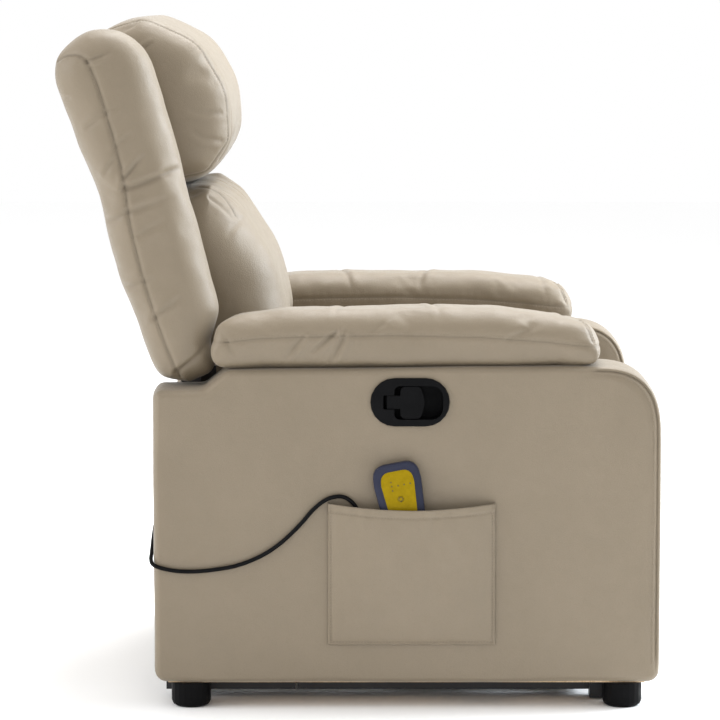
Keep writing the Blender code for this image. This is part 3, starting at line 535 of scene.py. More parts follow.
def land(tree, rays):
    """Where rays (origin, direction) meet a surface, as points and outward normals."""
    points, facing = [], []
    for origin, direction in rays:
        hit, normal, _, _ = tree.ray_cast(Vector(origin), Vector(direction))
        if hit is not None:
            points.append(hit)
            facing.append(normal)
    return points, facing


def side_rays(path, side, count, reach=0.8):
    """Rays along Y onto the right (-1) or left (1) face, through an (x, z) path."""
    spots = smooth_path([(x, 0, z) for x, z in path], count)
    return [((p.x, side * reach, p.z), (0, -side, 0)) for p in spots]


def loop_rays(outline, inset, side, step=0.006, reach=0.8):
    """Rays onto a side face, all round its outline."""
    ring = [Vector((p.x, 0, p.y)) for p in inset_outline(outline, inset)]
    length = sum((a - b).length for a, b in zip(ring, ring[1:] + ring[:1]))
    spots = even_ring(ring, int(length / step))
    return [((p.x, side * reach, p.z), (0, -side, 0)) for p in spots + spots[:1]]


def even_ring(ring, count):
    """Evenly spaced points on a closed run of straight edges."""
    corners = ring + ring[:1]
    marks = [0.0]
    for one, two in zip(corners, corners[1:]):
        marks.append(marks[-1] + (two - one).length)
    spots = []
    k = 0
    for i in range(count):
        goal = marks[-1] * i / count
        while marks[k + 1] < goal:
            k += 1
        share = (goal - marks[k]) / (marks[k + 1] - marks[k])
        spots.append(corners[k].lerp(corners[k + 1], share))
    return spots


def near(co, path, margin):
    path = np.array([tuple(p) for p in path])
    low, high = path.min(0) - margin, path.max(0) + margin
    return np.nonzero(((co >= low) & (co <= high)).all(1))[0]


def round_over(co, outline, reach, foot):
    """Rounds a cushion's side edges: each point slides round its section onto an arc.

    The arc is reach deep and wide, and smaller by the share foot along the underside.
    """
    ring = np.array([(p.x, p.y) for p in outline])
    after = np.roll(ring, -1, 0)
    spans = after - ring
    lengths = np.linalg.norm(spans, axis=1)
    turn = np.sign(np.sum(ring[:, 0] * after[:, 1] - after[:, 0] * ring[:, 1]))
    inward = turn * np.stack([-spans[:, 1], spans[:, 0]], 1) / lengths[:, None]
    flat = co[:, [0, 2]]
    offset = flat[:, None] - ring
    share = np.clip((offset * spans).sum(2) / lengths ** 2, 0, 1)
    gaps = np.linalg.norm(offset - share[:, :, None] * spans, axis=2)
    gap = gaps.min(1)
    pull = np.exp(-(gaps - gap[:, None]) / 0.010) * lengths
    direction = pull @ inward
    direction /= np.maximum(np.linalg.norm(direction, axis=1, keepdims=True), 1e-9)
    low, high = co[:, 1].min(), co[:, 1].max()
    y = co[:, 1] - (low + high) / 2
    half = (high - low) / 2
    reach = reach * (1 - foot * np.clip(direction[:, 1], 0, 1))
    across = np.minimum(half, reach)
    travel = np.abs(y) - (half - across) + gap
    edge = (travel > 0) & (travel < across + reach)
    turned = math.pi / 2 * travel / (across + reach)
    depth = np.where(edge, reach * (1 - np.cos(turned)), gap)
    height = np.where(edge, half - across + across * np.sin(turned), np.abs(y))
    flat = flat + direction * (depth - gap)[:, None]
    return np.stack([flat[:, 0], (low + high) / 2 + np.sign(y) * height, flat[:, 1]], 1)


def swell(node, place, voxel, shrink, cap, seams=(), hold=0.007, reach=0.0, foot=0.0, reshape=None):
    """Grows a cushion from a CAD node: an even closed mesh, made smaller, then blown up as cloth.

    seams gives rays to the places where the cloth is sewn down, hold wide. No point moves more
    than cap. reach and foot round its sides over, and reshape moves its points before that.
    """
    blank = local_copy(node, place)
    outline = outline_of(blank)
    made = remeshed(blank, voxel)
    mesh = made.data
    edges = neighbours(mesh)
    co = relax(coordinates(mesh), edges, 3)
    if reach:
        co = relax(round_over(co, outline, reach, foot), edges, 8)
    if reshape:
        co = reshape(co)
    set_coordinates(mesh, co)
    co = coordinates(mesh) - normals(mesh) * shrink
    start = relax(co, edges, 2)
    set_coordinates(mesh, start)
    tree = tree_of(mesh)
    weight = np.zeros(len(start))
    for rays in seams:
        path, _ = land(tree, rays)
        chosen = near(start, path, hold * 1.5)
        gap, _, _ = path_distance(start[chosen], path)
        weight[chosen] = np.maximum(weight[chosen], np.clip(1.5 - gap / hold, 0, 1))
    moved = blown_up(made, weight)
    shift = moved - start
    size = np.linalg.norm(shift, axis=1, keepdims=True)
    shift *= cap * np.tanh(size / cap) / np.maximum(size, 1e-9)
    set_coordinates(mesh, relax(start + shift, edges, 2, 0.5, 1 - 0.7 * weight))
    modifier = made.modifiers.new("finer", "SUBSURF")
    modifier.levels = modifier.render_levels = 1
    apply_modifiers(made)
    mesh = made.data
    bpy.data.objects.remove(made)
    return mesh


def blown_up(made, weight):
    """Coordinates after 20 frames of cloth under pressure, with the seams held."""
    group = made.vertex_groups.new(name="seams")
    for i in np.nonzero(weight > 0.02)[0]:
        group.add([int(i)], float(weight[i]), "REPLACE")
    modifier = made.modifiers.new("cloth", "CLOTH")
    cloth = modifier.settings
    cloth.quality = 4
    cloth.mass = 0.3
    cloth.air_damping = 1.0
    cloth.tension_stiffness = cloth.compression_stiffness = 9
    cloth.shear_stiffness = 4
    cloth.bending_stiffness = 0.6
    cloth.use_pressure = True
    cloth.uniform_pressure_force = 4.0
    cloth.effector_weights.gravity = 0
    cloth.vertex_group_mass = "seams"
    modifier.collision_settings.use_collision = False
    modifier.point_cache.frame_end = SIM_FRAMES
    scene = bpy.context.scene
    for frame_number in range(1, SIM_FRAMES + 1):
        scene.frame_set(frame_number)
    evaluated = made.evaluated_get(bpy.context.evaluated_depsgraph_get())
    moved = coordinates(evaluated.data)
    made.modifiers.remove(modifier)
    made.vertex_groups.clear()
    scene.frame_set(1)
    return moved


class Sewn:
    """A cushion's mesh and what has been sewn on it so far."""

    def __init__(self, mesh, waves=()):
        self.mesh = mesh
        self.co = coordinates(mesh)
        self.fold_shade = np.zeros(len(self.co))
        self.seam_paths = []
        self.stitch_rows = []
        for wave in waves:
            self.waver(*wave)

    def seam(self, rays, depth, width, stitches=(), pucker=0.00018):
        """A sewn seam: a groove with small puckers beside it and painted shade along it, its line, and
        rows of stitches.
        """
        path, _ = land(tree_of(self.mesh), rays)
        chosen = near(self.co, path, 0.03)
        gap, along, _ = path_distance(self.co[chosen], path)
        length = sum((b - a).length for a, b in zip(path, path[1:]))
        out = normals(self.mesh)[chosen]
        phase = along * length / 0.017
        wave = np.sin(2 * math.pi * phase + 2.1 * np.sin(phase * 1.7))
        wave *= np.exp(-((gap - 0.007) / 0.006) ** 2)
        move = -depth * np.exp(-(gap / width) ** 2) + pucker * wave
        self.co[chosen] += out * move[:, None]
        # painted shade along the groove, strongest at its middle
        dark = 0.6 * np.exp(-(gap / (width * 0.55)) ** 2)
        self.fold_shade[chosen] = np.maximum(self.fold_shade[chosen], dark)
        self.update()
        self.seam_paths.append(rays)
        self.stitch_rows += [(rays, offset) for offset in stitches]

    def crease(self, path, width, depth, facing=(0, -1, 0), ridge=0.6, lean=1, ends=(0.35, 0.0)):
        """A fold in the face that looks along facing, along a path in that face's plane, with painted
        shade in its valley.
        """
        axes = [i for i in range(3) if abs(facing[i]) < 0.5]
        out = normals(self.mesh)
        seen = out @ np.array(facing)
        flat = self.co[:, axes]
        path = np.array([tuple(p) for p in smooth_path([(*p, 0) for p in path], 14)])[:, :2]
        chosen = np.nonzero((seen > 0.25) & (np.abs(flat - path.mean(0)).max(1) < 0.2))[0]
        gap, along, side = path_distance(flat[chosen], path)
        signed = gap * side * lean
        width *= CREASE_WIDTH
        span = ends[0] + (1 - ends[0] - ends[1]) * along
        fade = np.clip(np.sin(np.pi * span), 0, 1) ** 0.7 * np.clip((seen[chosen] - 0.25) / 0.4, 0, 1)
        valley = np.exp(-(signed / width) ** 2)
        bank = np.exp(-((signed - 2.1 * width) / (1.5 * width)) ** 2)
        self.co[chosen] += out[chosen] * (fade * depth * (ridge * bank - valley))[:, None]
        # painted shade in the crease's valley, fainter for shallow creases
        shade = 0.35 * fade * np.exp(-(signed / (0.6 * width)) ** 2) * min(1, depth / 0.003)
        self.fold_shade[chosen] = np.maximum(self.fold_shade[chosen], shade)
        self.update()

    def waver(self, size, scale, seed):
        """Soft unevenness of foam and wadding under the cover."""
        offset = Vector((seed * 3.1, seed * 1.7, seed * 2.3))
        height = np.array([noise.noise(Vector(p) * scale + offset) for p in self.co])
        self.co += normals(self.mesh) * (size * height)[:, None]
        self.update()

    def update(self):
        set_coordinates(self.mesh, self.co)


def shade(mesh, fold_shade):
    """Marks how deep in a seam or a fold each vertex lies, as painted shade for the leather's colour."""
    attribute = mesh.attributes.new("fold_shade", "FLOAT", "POINT")
    attribute.data.foreach_set("value", np.array(fold_shade, np.float32))


def ring_of(bm, centre, across, up, radius, sides):
    turns = [2 * math.pi * k / sides for k in range(sides)]
    return [bm.verts.new(centre + (across * math.cos(t) + up * math.sin(t)) * radius) for t in turns]


def bridge(bm, one, two):
    """Faces between two rings of as many vertices."""
    for a, b, c, d in zip(one, one[1:] + one[:1], two[1:] + two[:1], two):
        bm.faces.new((a, b, c, d))


def tube(bm, path, radius, sides=6):
    """Adds a thin tube along an open path."""
    rings = []
    across = None
    for i, point in enumerate(path):
        along = (path[min(i + 1, len(path) - 1)] - path[max(i - 1, 0)]).normalized()
        if across is None:
            across = along.orthogonal().normalized()
        across = (across - along * across.dot(along)).normalized()
        rings.append(ring_of(bm, point, across, along.cross(across), radius, sides))
    for one, two in zip(rings, rings[1:]):
        bridge(bm, one, two)
    bm.faces.new(rings[0][::-1])
    bm.faces.new(rings[-1])


def stitch(bm, centre, along, up, length, radius, sides=5):
    """One thread stitch: a small round-ended rod that dips in at its ends."""
    across = up.cross(along).normalized()
    rings = [ring_of(bm, centre + along * (length * s), across, up, radius, sides) for s in (-0.30, 0.30)]
    tips = [bm.verts.new(centre + along * (length * s) - up * radius * 0.8) for s in (-0.5, 0.5)]
    bridge(bm, *rings)
    for k in range(sides):
        m = (k + 1) % sides
        bm.faces.new((rings[0][m], rings[0][k], tips[0]))
        bm.faces.new((rings[1][k], rings[1][m], tips[1]))


def paced(path, start, pitch):
    """Evenly spaced places on a path: the point, the direction there and the span's number."""
    travelled, goal = 0.0, start
    for k, (a, b) in enumerate(zip(path, path[1:])):
        step = (b - a).length
        while step > 1e-6 and goal <= travelled + step:
            yield a.lerp(b, (goal - travelled) / step), (b - a).normalized(), k
            goal += pitch
        travelled += step


def stitch_row(bm, tree, points, facing, offset, pitch=0.0048, length=0.0038, radius=0.00042):
    """Stitches on a surface, beside a path and offset from it."""
    spots, ups = [], []
    for i, (point, up) in enumerate(zip(points, facing)):
        along = points[min(i + 1, len(points) - 1)] - points[max(i - 1, 0)]
        spot, normal, _, _ = tree.find_nearest(point + up.cross(along).normalized() * offset)
        spots.append(spot)
        ups.append(normal)
    for centre, along, k in paced(spots, pitch / 2, pitch):
        stitch(bm, centre + ups[k] * radius * 0.35, along, ups[k], length, radius)


def sew(name, sewn, mats, body, place, node):
    """Turns a sewn mesh into a piece that stands for its CAD nodes, with its seam lines and stitches."""
    mesh = sewn.mesh
    shade(mesh, sewn.fold_shade)
    tree = tree_of(mesh)
    lines, threads = bmesh.new(), bmesh.new()
    for rays in sewn.seam_paths:
        points, facing = land(tree, rays)
        # each seam's line: a thin tube sunk into the groove, coloured darker as painted shade
        tube(lines, [p - n * 0.0004 for p, n in zip(points, facing)], SEAM_LINE)
    for rays, offset in sewn.stitch_rows:
        points, facing = land(tree, rays)
        stitch_row(threads, tree, points, facing, offset)
    piece = add_piece(name, mesh, mats["leather"], body, place)
    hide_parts(node)
    for suffix, bm, material in (("seams", lines, "seam_shade_line"), ("stitches", threads, "thread")):
        if bm.verts:
            add_piece(f"{name}_{suffix}", finished(bm), mats[material], body, place)


def mirrored(mesh):
    """The same cushion for the other side of the chair."""
    other = mesh.copy()
    co = coordinates(other)
    co[:, 1] *= -1
    set_coordinates(other, co)
    other.flip_normals()
    return other


# ---- backrest ------------------------------------------------------------------------
WING_SEAM = [
    (-0.0600, 0.4535), (-0.0376, 0.4600), (-0.0244, 0.4591), (-0.0141, 0.4548), (-0.0065, 0.4470),
    (-0.0032, 0.4330), (-0.0012, 0.4100), (-0.0010, 0.3893), (-0.0020, 0.3508), (-0.0036, 0.3122),
    (-0.0066, 0.2736), (-0.0120, 0.2400), (-0.0185, 0.2050), (-0.0245, 0.1500), (-0.0275, 0.0850),
    (-0.0270, 0.0200), (-0.0235, -0.0380),
]
WING_CREASES = [
    # path, width, depth, side of its raised bank
    ([(-0.0045, 0.4430), (0.0152, 0.4433), (0.0330, 0.4445)], 0.0034, 0.0028, -1),
    ([(-0.0010, 0.3130), (0.0148, 0.3191), (0.0280, 0.3235)], 0.0050, 0.0016, 1),
    ([(-0.0040, 0.2660), (0.0151, 0.2790), (0.0339, 0.2885)], 0.0045, 0.0034, 1),
    ([(-0.0100, 0.2512), (0.0075, 0.2502), (0.0334, 0.2515), (0.0634, 0.2535), (0.0900, 0.2496)],
     0.0055, 0.0044, 1),
    ([(-0.0330, 0.3520), (-0.0060, 0.3613)], 0.0045, 0.0016, 1),
    ([(-0.0038, 0.3630), (0.0230, 0.3690)], 0.0050, 0.0014, -1),
    ([(-0.0300, 0.2820), (-0.0070, 0.2999)], 0.0045, 0.0020, 1),
    ([(-0.0495, 0.2130), (-0.0200, 0.2155), (0.0396, 0.2167), (0.0560, 0.2150)], 0.0060, 0.0030, 1),
    ([(-0.0120, 0.1790), (0.0343, 0.1888)], 0.0065, 0.0016, -1),
    ([(-0.0556, 0.1100), (-0.0300, 0.1120), (-0.0100, 0.1106)], 0.0060, 0.0024, 1),
    ([(-0.0297, 0.0560), (0.0000, 0.0680), (0.0230, 0.0748)], 0.0055, 0.0026, 1),
    ([(-0.0240, -0.0290), (0.0112, -0.0160), (0.0260, -0.0060)], 0.0045, 0.0034, 1),
    ([(-0.0560, 0.3990), (-0.0440, 0.4020)], 0.0045, 0.0024, 1),
]


def heel_of_wing(co):
    """Fills the wing's lower front corner out, over the hinge, and its back, but not at the waist."""
    x, y, z = co.T
    radius = np.maximum(np.hypot(x, z), 1e-6)
    push = 0.020 * np.exp(-((np.arctan2(z, x) + 1.05) / 0.60) ** 2) * np.clip(radius / 0.035, 0, 1)
    push = np.where(z < 0.02, push / radius, 0)
    slack = 0.0050 * (1 - np.exp(-((z - 0.255) / 0.05) ** 2)) + 0.004 * np.clip((0.06 - z) / 0.05, 0, 1)
    slack *= np.clip((-0.02 - x) / 0.02, 0, 1)
    return np.stack([x * (1 + push) - slack, y, z * (1 + push)], 1)


def make_wings(mats):
    seam = side_rays(WING_SEAM, RIGHT, 90)
    mesh = swell("wing_right", BACK, 0.0058, 0.0012, 0.0060, reach=0.046, reshape=heel_of_wing)
    for label, side, shape in (("left", LEFT, mirrored(mesh)), ("right", RIGHT, mesh)):
        sewn = Sewn(shape, [(0.0022, 11, 1.0 + side), (0.0007, 34, 2.0 + side)])
        outward = [((x, side * abs(y), z), (0, -side, 0)) for (x, y, z), _ in seam]
        for path, width, depth, lean in WING_CREASES:
            sewn.crease(path, width, depth, (0, side, 0), 0.6, lean)
        sewn.seam(outward, 0.0026, 0.0036, (0.0034 * side,))
        sew(f"wing_cover_{label}", sewn, mats, "backrest", BACK, f"wing_{label}")


def drooping_front(co):
    """Lets the headrest's front sag a little, and rounds its top off."""
    x, y, z = co.T
    front = np.clip((x - 0.04) / 0.10, 0, 1)
    return np.stack([x - 0.002 * front, y, z - 0.0075 * front], 1)


def sagging(rays):
    """The same rays, moved as the headrest's points are."""
    moved = drooping_front(np.array([origin for origin, _ in rays]))
    return [(tuple(p), direction) for p, (_, direction) in zip(moved, rays)]


def side_rings(node, place, inset):
    """Rays to a cushion's right and left faces, all round its outline."""
    outline = outline_of(local_copy(node, place))
    return [loop_rays(outline, inset, side) for side in (RIGHT, LEFT)]


def make_headrest(mats):
    node = "headrest_cushion"
    mesh = swell(node, BACK, 0.0065, 0.0060, 0.0090, reach=0.052, reshape=drooping_front)
    sewn = Sewn(mesh, [(0.0020, 8, 3.0), (0.0006, 26, 4.0)])
    for side in (RIGHT, LEFT):
        facing = (0, side, 0)
        sewn.crease([(0.0480, 0.4700), (0.0663, 0.4741), (0.0810, 0.4830)], 0.0040, 0.0032,
                    facing, 0.7, 1, (0.0, 0.35))
        sewn.crease([(0.0700, 0.4350), (0.0800, 0.4385), (0.0890, 0.4410)], 0.0030, 0.0020, facing)
        sewn.crease([(0.1500, 0.3100), (0.1250, 0.3180), (0.1050, 0.3300)], 0.0050, 0.0018, facing)
        sewn.crease([(0.1380, 0.2700), (0.1150, 0.2830), (0.1000, 0.3000)], 0.0050, 0.0020, facing)
    gathers = ((-0.205, 0.07), (-0.150, 0.05), (0.140, 0.06), (0.200, 0.07), (0.02, 0.04), (-0.08, 0.045))
    for y, reach in gathers:
        path = [(y, 0.245), (y * 0.985, 0.245 + reach * 0.5), (y * 0.95, 0.245 + reach)]
        sewn.crease(path, 0.0050, 0.0022, (1, 0, 0), 0.5, 1 if y > 0 else -1)
    for rays in side_rings(node, BACK, 0.010):
        sewn.seam(sagging(rays), 0.0014, 0.0030, (0.0034,))
    sew("headrest_cover", sewn, mats, "backrest", BACK, node)


def sloping_front(co):
    """Draws the upper half of the lumbar cushion's front back."""
    x, y, z = co.T
    back = 0.016 * np.exp(-((z - 0.180) / 0.090) ** 2) * np.clip((x - 0.03) / 0.10, 0, 1)
    return np.stack([x - back, y, z], 1)


LUMBAR_SEAM = [(0.0820, 0.2130), (0.0950, 0.2080), (0.1060, 0.1980), (0.1140, 0.1850),
               (0.1190, 0.1700), (0.1220, 0.1550)]


def make_lumbar(mats):
    node = "lumbar_cushion"
    mesh = swell(node, BACK, 0.0065, 0.0075, 0.0090, reach=0.085, reshape=sloping_front)
    sewn = Sewn(mesh, [(0.0018, 8, 5.0), (0.0005, 26, 6.0)])
    for side in (RIGHT, LEFT):
        facing = (0, side, 0)
        sewn.crease([(0.0700, 0.2060), (0.0880, 0.2090), (0.1040, 0.2120)], 0.0045, 0.0028, facing,
                    0.6, -1)
        sewn.crease([(0.1350, 0.1500), (0.1150, 0.1420), (0.1000, 0.1300)], 0.0060, 0.0016, facing)
    for y in (-0.215, -0.175, -0.120, -0.04, 0.05, 0.125, 0.180, 0.220):
        reach = 0.035 + 0.02 * abs(math.sin(37 * y))
        path = [(y, 0.205), (y * 0.99, 0.205 - reach * 0.5), (y * 0.97, 0.205 - reach)]
        sewn.crease(path, 0.0045, 0.0020, (1, 0, 0), 0.5, 1 if y > 0 else -1)
    for side in (RIGHT, LEFT):
        sewn.seam(side_rays(LUMBAR_SEAM, side, 40), 0.0014, 0.0032)
    sew("lumbar_cover", sewn, mats, "backrest", BACK, node)


def rear_ring(y, z):
    """Rays from behind to a rectangle, from its two limits on each axis."""
    corners = [Vector((0, *p)) for p in ((y[0], z[0]), (y[0], z[1]), (y[1], z[1]), (y[1], z[0]))]
    ring = [((-1, p.y, p.z), (1, 0, 0)) for p in even_ring(corners, 260)]
    return ring + ring[:1]


def make_back_cover(mats):
    node = "back_cover"
    ring = rear_ring((-0.2335, 0.2335), (0.01, 0.39))
    middle = [((-1, 0.0, 0.012 + 0.376 * i / 60), (1, 0, 0)) for i in range(61)]
    mesh = swell(node, BACK, 0.0055, 0.0020, 0.0090, [ring, middle])
    sewn = Sewn(mesh, [(0.0018, 10, 7.0)])
    sewn.seam(ring, 0.0014, 0.0032, (), 0.0004)
    sewn.seam(middle, 0.0014, 0.0032, (0.0035, -0.0035), 0.0004)
    sew("back_rear_cover", sewn, mats, "backrest", BACK, node)


# ---- arm pads, seat and footrest ------------------------------------------------------
PAD_MIDDLE = 0.319               # middle of an arm pad, from the chair's mid-plane
PAD_SEAM = [(-0.2125, 0.5397), (-0.1470, 0.5478), (-0.0509, 0.5507), (0.0524, 0.5516),
            (0.1746, 0.5493), (0.2733, 0.5422), (0.3508, 0.5337)]


def seam_height(x):
    return float(np.interp(x, [p[0] for p in PAD_SEAM], [p[1] for p in PAD_SEAM]))


def pad_loop(side):
    """Rays from inside an arm pad out to the seam that runs all round it."""
    low, high = -0.190, 0.333
    y = side * PAD_MIDDLE
    run = [low + (high - low) * i / 90 for i in range(91)]
    turns = [(math.sin(math.pi * i / 14), side * math.cos(math.pi * i / 14)) for i in range(1, 15)]
    rays = [((x, y, seam_height(x)), (0, side, 0)) for x in run]
    rays += [((high, y, seam_height(high) - 0.001 * s), (s, c, 0)) for s, c in turns[:-1]]
    rays += [((x, y, seam_height(x)), (0, -side, 0)) for x in run[::-1]]
    rays += [((low, y, seam_height(low)), (-s, -c, 0)) for s, c in turns]
    return rays


def pad_end_seam(side):
    """Rays to the seam over the front end of a pad, from one side to the other."""
    y = side * PAD_MIDDLE
    rays = []
    for i in range(61):
        a = math.pi * i / 60
        lift = math.sin(a)
        rays.append(((0.3400 - 0.0130 * lift, y, 0.5425), (-0.08 * lift, side * math.cos(a), lift)))
    return rays


def longer_pad(co):
    """Draws a pad's ends out, the rear one round the wing's side, and flattens its top."""
    x, y, z = co.T
    rear = np.clip((-0.150 - x) / 0.05, 0, 1)
    outer = np.clip((np.abs(y) - 0.325) / 0.045, 0, 1)
    front = np.exp(-np.hypot(x - 0.335, z - 0.562) ** 2 / 0.020 ** 2)
    x = x + 0.004 * np.clip((x - 0.25) / 0.10, 0, 1) - rear * (0.002 + 0.012 * outer)
    upper, lower = np.clip((z - 0.555) / 0.03, 0, 1), np.clip((0.530 - z) / 0.02, 0, 1)
    z = z - 0.0055 * upper - (0.003 + 0.003 * rear) * lower
    return np.stack([x + 0.004 * front, y, z + 0.006 * front], 1)


def make_arm_pads(mats):
    mesh = swell("arm_pad_right", CHAIR, 0.0052, 0.0020, 0.0060, reach=0.034, foot=0.75,
                 reshape=longer_pad)
    creases = [
        ([(-0.0844, 0.5480), (-0.0980, 0.5320), (-0.1107, 0.5171)], 0.0050, 0.0026, 1),
        ([(-0.0349, 0.5566), (-0.0520, 0.5420), (-0.0713, 0.5258)], 0.0042, 0.0036, 1),
        ([(-0.0247, 0.5480), (-0.0340, 0.5290), (-0.0451, 0.5097)], 0.0050, 0.0032, 1),
        ([(0.0335, 0.5683), (0.0250, 0.5630), (0.0145, 0.5566)], 0.0050, 0.0014, 1),
        ([(-0.1950, 0.5440), (-0.1860, 0.5300), (-0.1830, 0.5200)], 0.0050, 0.0016, -1),
        ([(0.2200, 0.5500), (0.2450, 0.5590), (0.2620, 0.5700)], 0.0060, 0.0014, 1),
    ]
    for label, side, shape in (("left", LEFT, mirrored(mesh)), ("right", RIGHT, mesh)):
        sewn = Sewn(shape, [(0.0026, 9, 8.0 + side), (0.0009, 30, 9.0 + side)])
        for path, width, depth, lean in creases:
            sewn.crease(path, width, depth, (0, side, 0), 0.6, lean)
        inner, outer = side * 0.262, side * 0.376
        for x, slant in ((-0.038, 0.022), (0.118, -0.020), (0.292, 0.012)):
            path = [(x, outer), (x + slant * 0.4, (inner + outer) / 2), (x + slant, inner)]
            sewn.crease(path, 0.0060, 0.0013, (0, 0, 1), 0.9, 1, (0.0, 0.2))
        sewn.seam(pad_loop(side), 0.0012, 0.0030, (0.0034,))
        sewn.seam(pad_end_seam(side), 0.0016, 0.0032, (0.0034, -0.0034))
        sew(f"arm_pad_cover_{label}", sewn, mats, "chair", CHAIR, f"arm_pad_{label}")


def extent(node):
    co = coordinates(local_copy(node, CHAIR))
    return co.min(0), co.max(0)


def make_seat(mats):
    node = "seat_cushion"
    low, high = extent(node)
    split = high[0] - 0.135
    across = [((split, y, 0.8), (0, 0, -1)) for y in np.linspace(low[1] + 0.012, high[1] - 0.012, 90)]
    mesh = swell(node, CHAIR, 0.0070, 0.0060, 0.0160, [across], 0.008, reach=0.030)
    sewn = Sewn(mesh, [(0.0030, 7, 10.0), (0.0009, 24, 11.0)])
    up = (0, 0, 1)
    for y in (-0.19, -0.11, -0.035, 0.05, 0.13, 0.20):
        reach = 0.035 + 0.015 * math.sin(41 * y)
        sewn.crease([(split - 0.004, y), (split - reach, y * 0.98)], 0.0050, 0.0016, up, 0.6, 1)
        sewn.crease([(split + 0.004, y * 1.03), (split + reach * 0.8, y)], 0.0050, 0.0016, up, 0.6, -1)
    for rays in side_rings(node, CHAIR, 0.012):
        sewn.seam(rays, 0.0026, 0.0036, (0.0036,))
    sewn.seam(across, 0.0030, 0.0040, (0.0036, -0.0036))
    sew("seat_cover", sewn, mats, "chair", CHAIR, node)


def make_footrest(mats):
    node = "footrest_pad"
    low, high = extent(node)
    middle = (low[2] + high[2]) / 2
    across = [((1, y, middle), (-1, 0, 0)) for y in np.linspace(low[1] + 0.012, high[1] - 0.012, 90)]
    mesh = swell(node, CHAIR, 0.0055, 0.0045, 0.0110, [across], 0.006, reach=0.024)
    sewn = Sewn(mesh, [(0.0022, 8, 12.0), (0.0008, 26, 13.0)])
    for y in (-0.20, -0.125, -0.05, 0.03, 0.11, 0.185):
        for up in (-1, 1):
            reach = 0.030 + 0.010 * math.sin(53 * y + up)
            path = [(y, middle + 0.004 * up), (y * 0.98, middle + reach * up)]
            sewn.crease(path, 0.0050, 0.0015, (1, 0, 0), 0.6, up)
    for rays in side_rings(node, CHAIR, 0.010):
        sewn.seam(rays, 0.0024, 0.0034, (0.0034,))
    sewn.seam(across, 0.0028, 0.0038, (0.0036, -0.0036))
    sew("footrest_cover", sewn, mats, "footrest", CHAIR, node)


def make_rear_panel(mats):
    node = "rear_panel"
    low, high = extent(node)
    edge = 0.018
    ring = rear_ring((low[1] + edge, high[1] - edge), (low[2] + edge, high[2] - edge))
    mesh = swell(node, CHAIR, 0.0055, 0.0020, 0.0080, [ring], 0.006)
    sewn = Sewn(mesh, [(0.0016, 9, 14.0)])
    sewn.seam(ring, 0.0014, 0.0032, (0.0034,), 0.0004)
    sew("rear_cover", sewn, mats, "chair", CHAIR, node)


# ---- arms ------------------------------------------------------------------------------
SHOULDER = (0.100, 0.108)        # radii of an arm's front top corner
SQUARED = 0.72                   # below 1 fills that corner out
ARM_REAR_TOP = 0.472
BAND_SEAM = 0.0062               # the front band's seam, inside the arm's outline
WINDOW = ((0.0305, 0.1244), (0.4267, 0.4828))   # x and z of the hole behind the release bezel


def rounded(corners, steps):
    """A closed outline from corners (x, z, radius), each rounded by an arc of that radius."""
    points = []
    for i, (x, z, radius) in enumerate(corners):
        here = Vector((x, z))
        before = Vector(corners[i - 1][:2]) - here
        after = Vector(corners[(i + 1) % len(corners)][:2]) - here
        if radius <= 0:
            points.append(here)
            continue
        half = before.angle(after) / 2
        start = here + before.normalized() * radius / math.tan(half)
        end = here + after.normalized() * radius / math.tan(half)
        bisector = (before.normalized() + after.normalized()).normalized()
        centre = here + bisector * (radius / math.sin(half))
        a, b = start - centre, end - centre
        turn = math.atan2(a.x * b.y - a.y * b.x, a.dot(b))
        for k in range(steps + 1):
            c, s = math.cos(turn * k / steps), math.sin(turn * k / steps)
            points.append(Vector((centre.x + a.x * c - a.y * s, centre.y + a.x * s + a.y * c)))
    return points


def arm_outline():
    """The side view of an arm, as evenly spaced points."""
    (rear, _, bottom), (front, _, top) = extent("arm_cover_right")
    middle = (front - SHOULDER[0], top - SHOULDER[1])
    angles = [math.pi / 2 * i / 16 for i in range(17)]
    fuller = [(max(0, math.cos(a)) ** SQUARED, max(0, math.sin(a)) ** SQUARED) for a in angles]
    shoulder = [(middle[0] + SHOULDER[0] * c, middle[1] + SHOULDER[1] * s, 0) for c, s in fuller]
    lower = [(rear, ARM_REAR_TOP, 0.012), (rear, bottom, 0.018), (front, bottom, 0.018)]
    upper = [(-0.194, 0.501, 0.020), (-0.229, ARM_REAR_TOP, 0.020)]
    ring = rounded(lower + shoulder + upper, 6)
    length = sum((a - b).length for a, b in zip(ring, ring[1:] + ring[:1]))
    return even_ring(ring, int(length / 0.005))


def band_share(p, low):
    """How far a point of the outline lies on the seamed front, from 0 to 1."""
    front = min(1, max(0, (p.x - 0.332) / 0.014))
    return front * min(1, max(0, (p.y - low - 0.012) / 0.03))


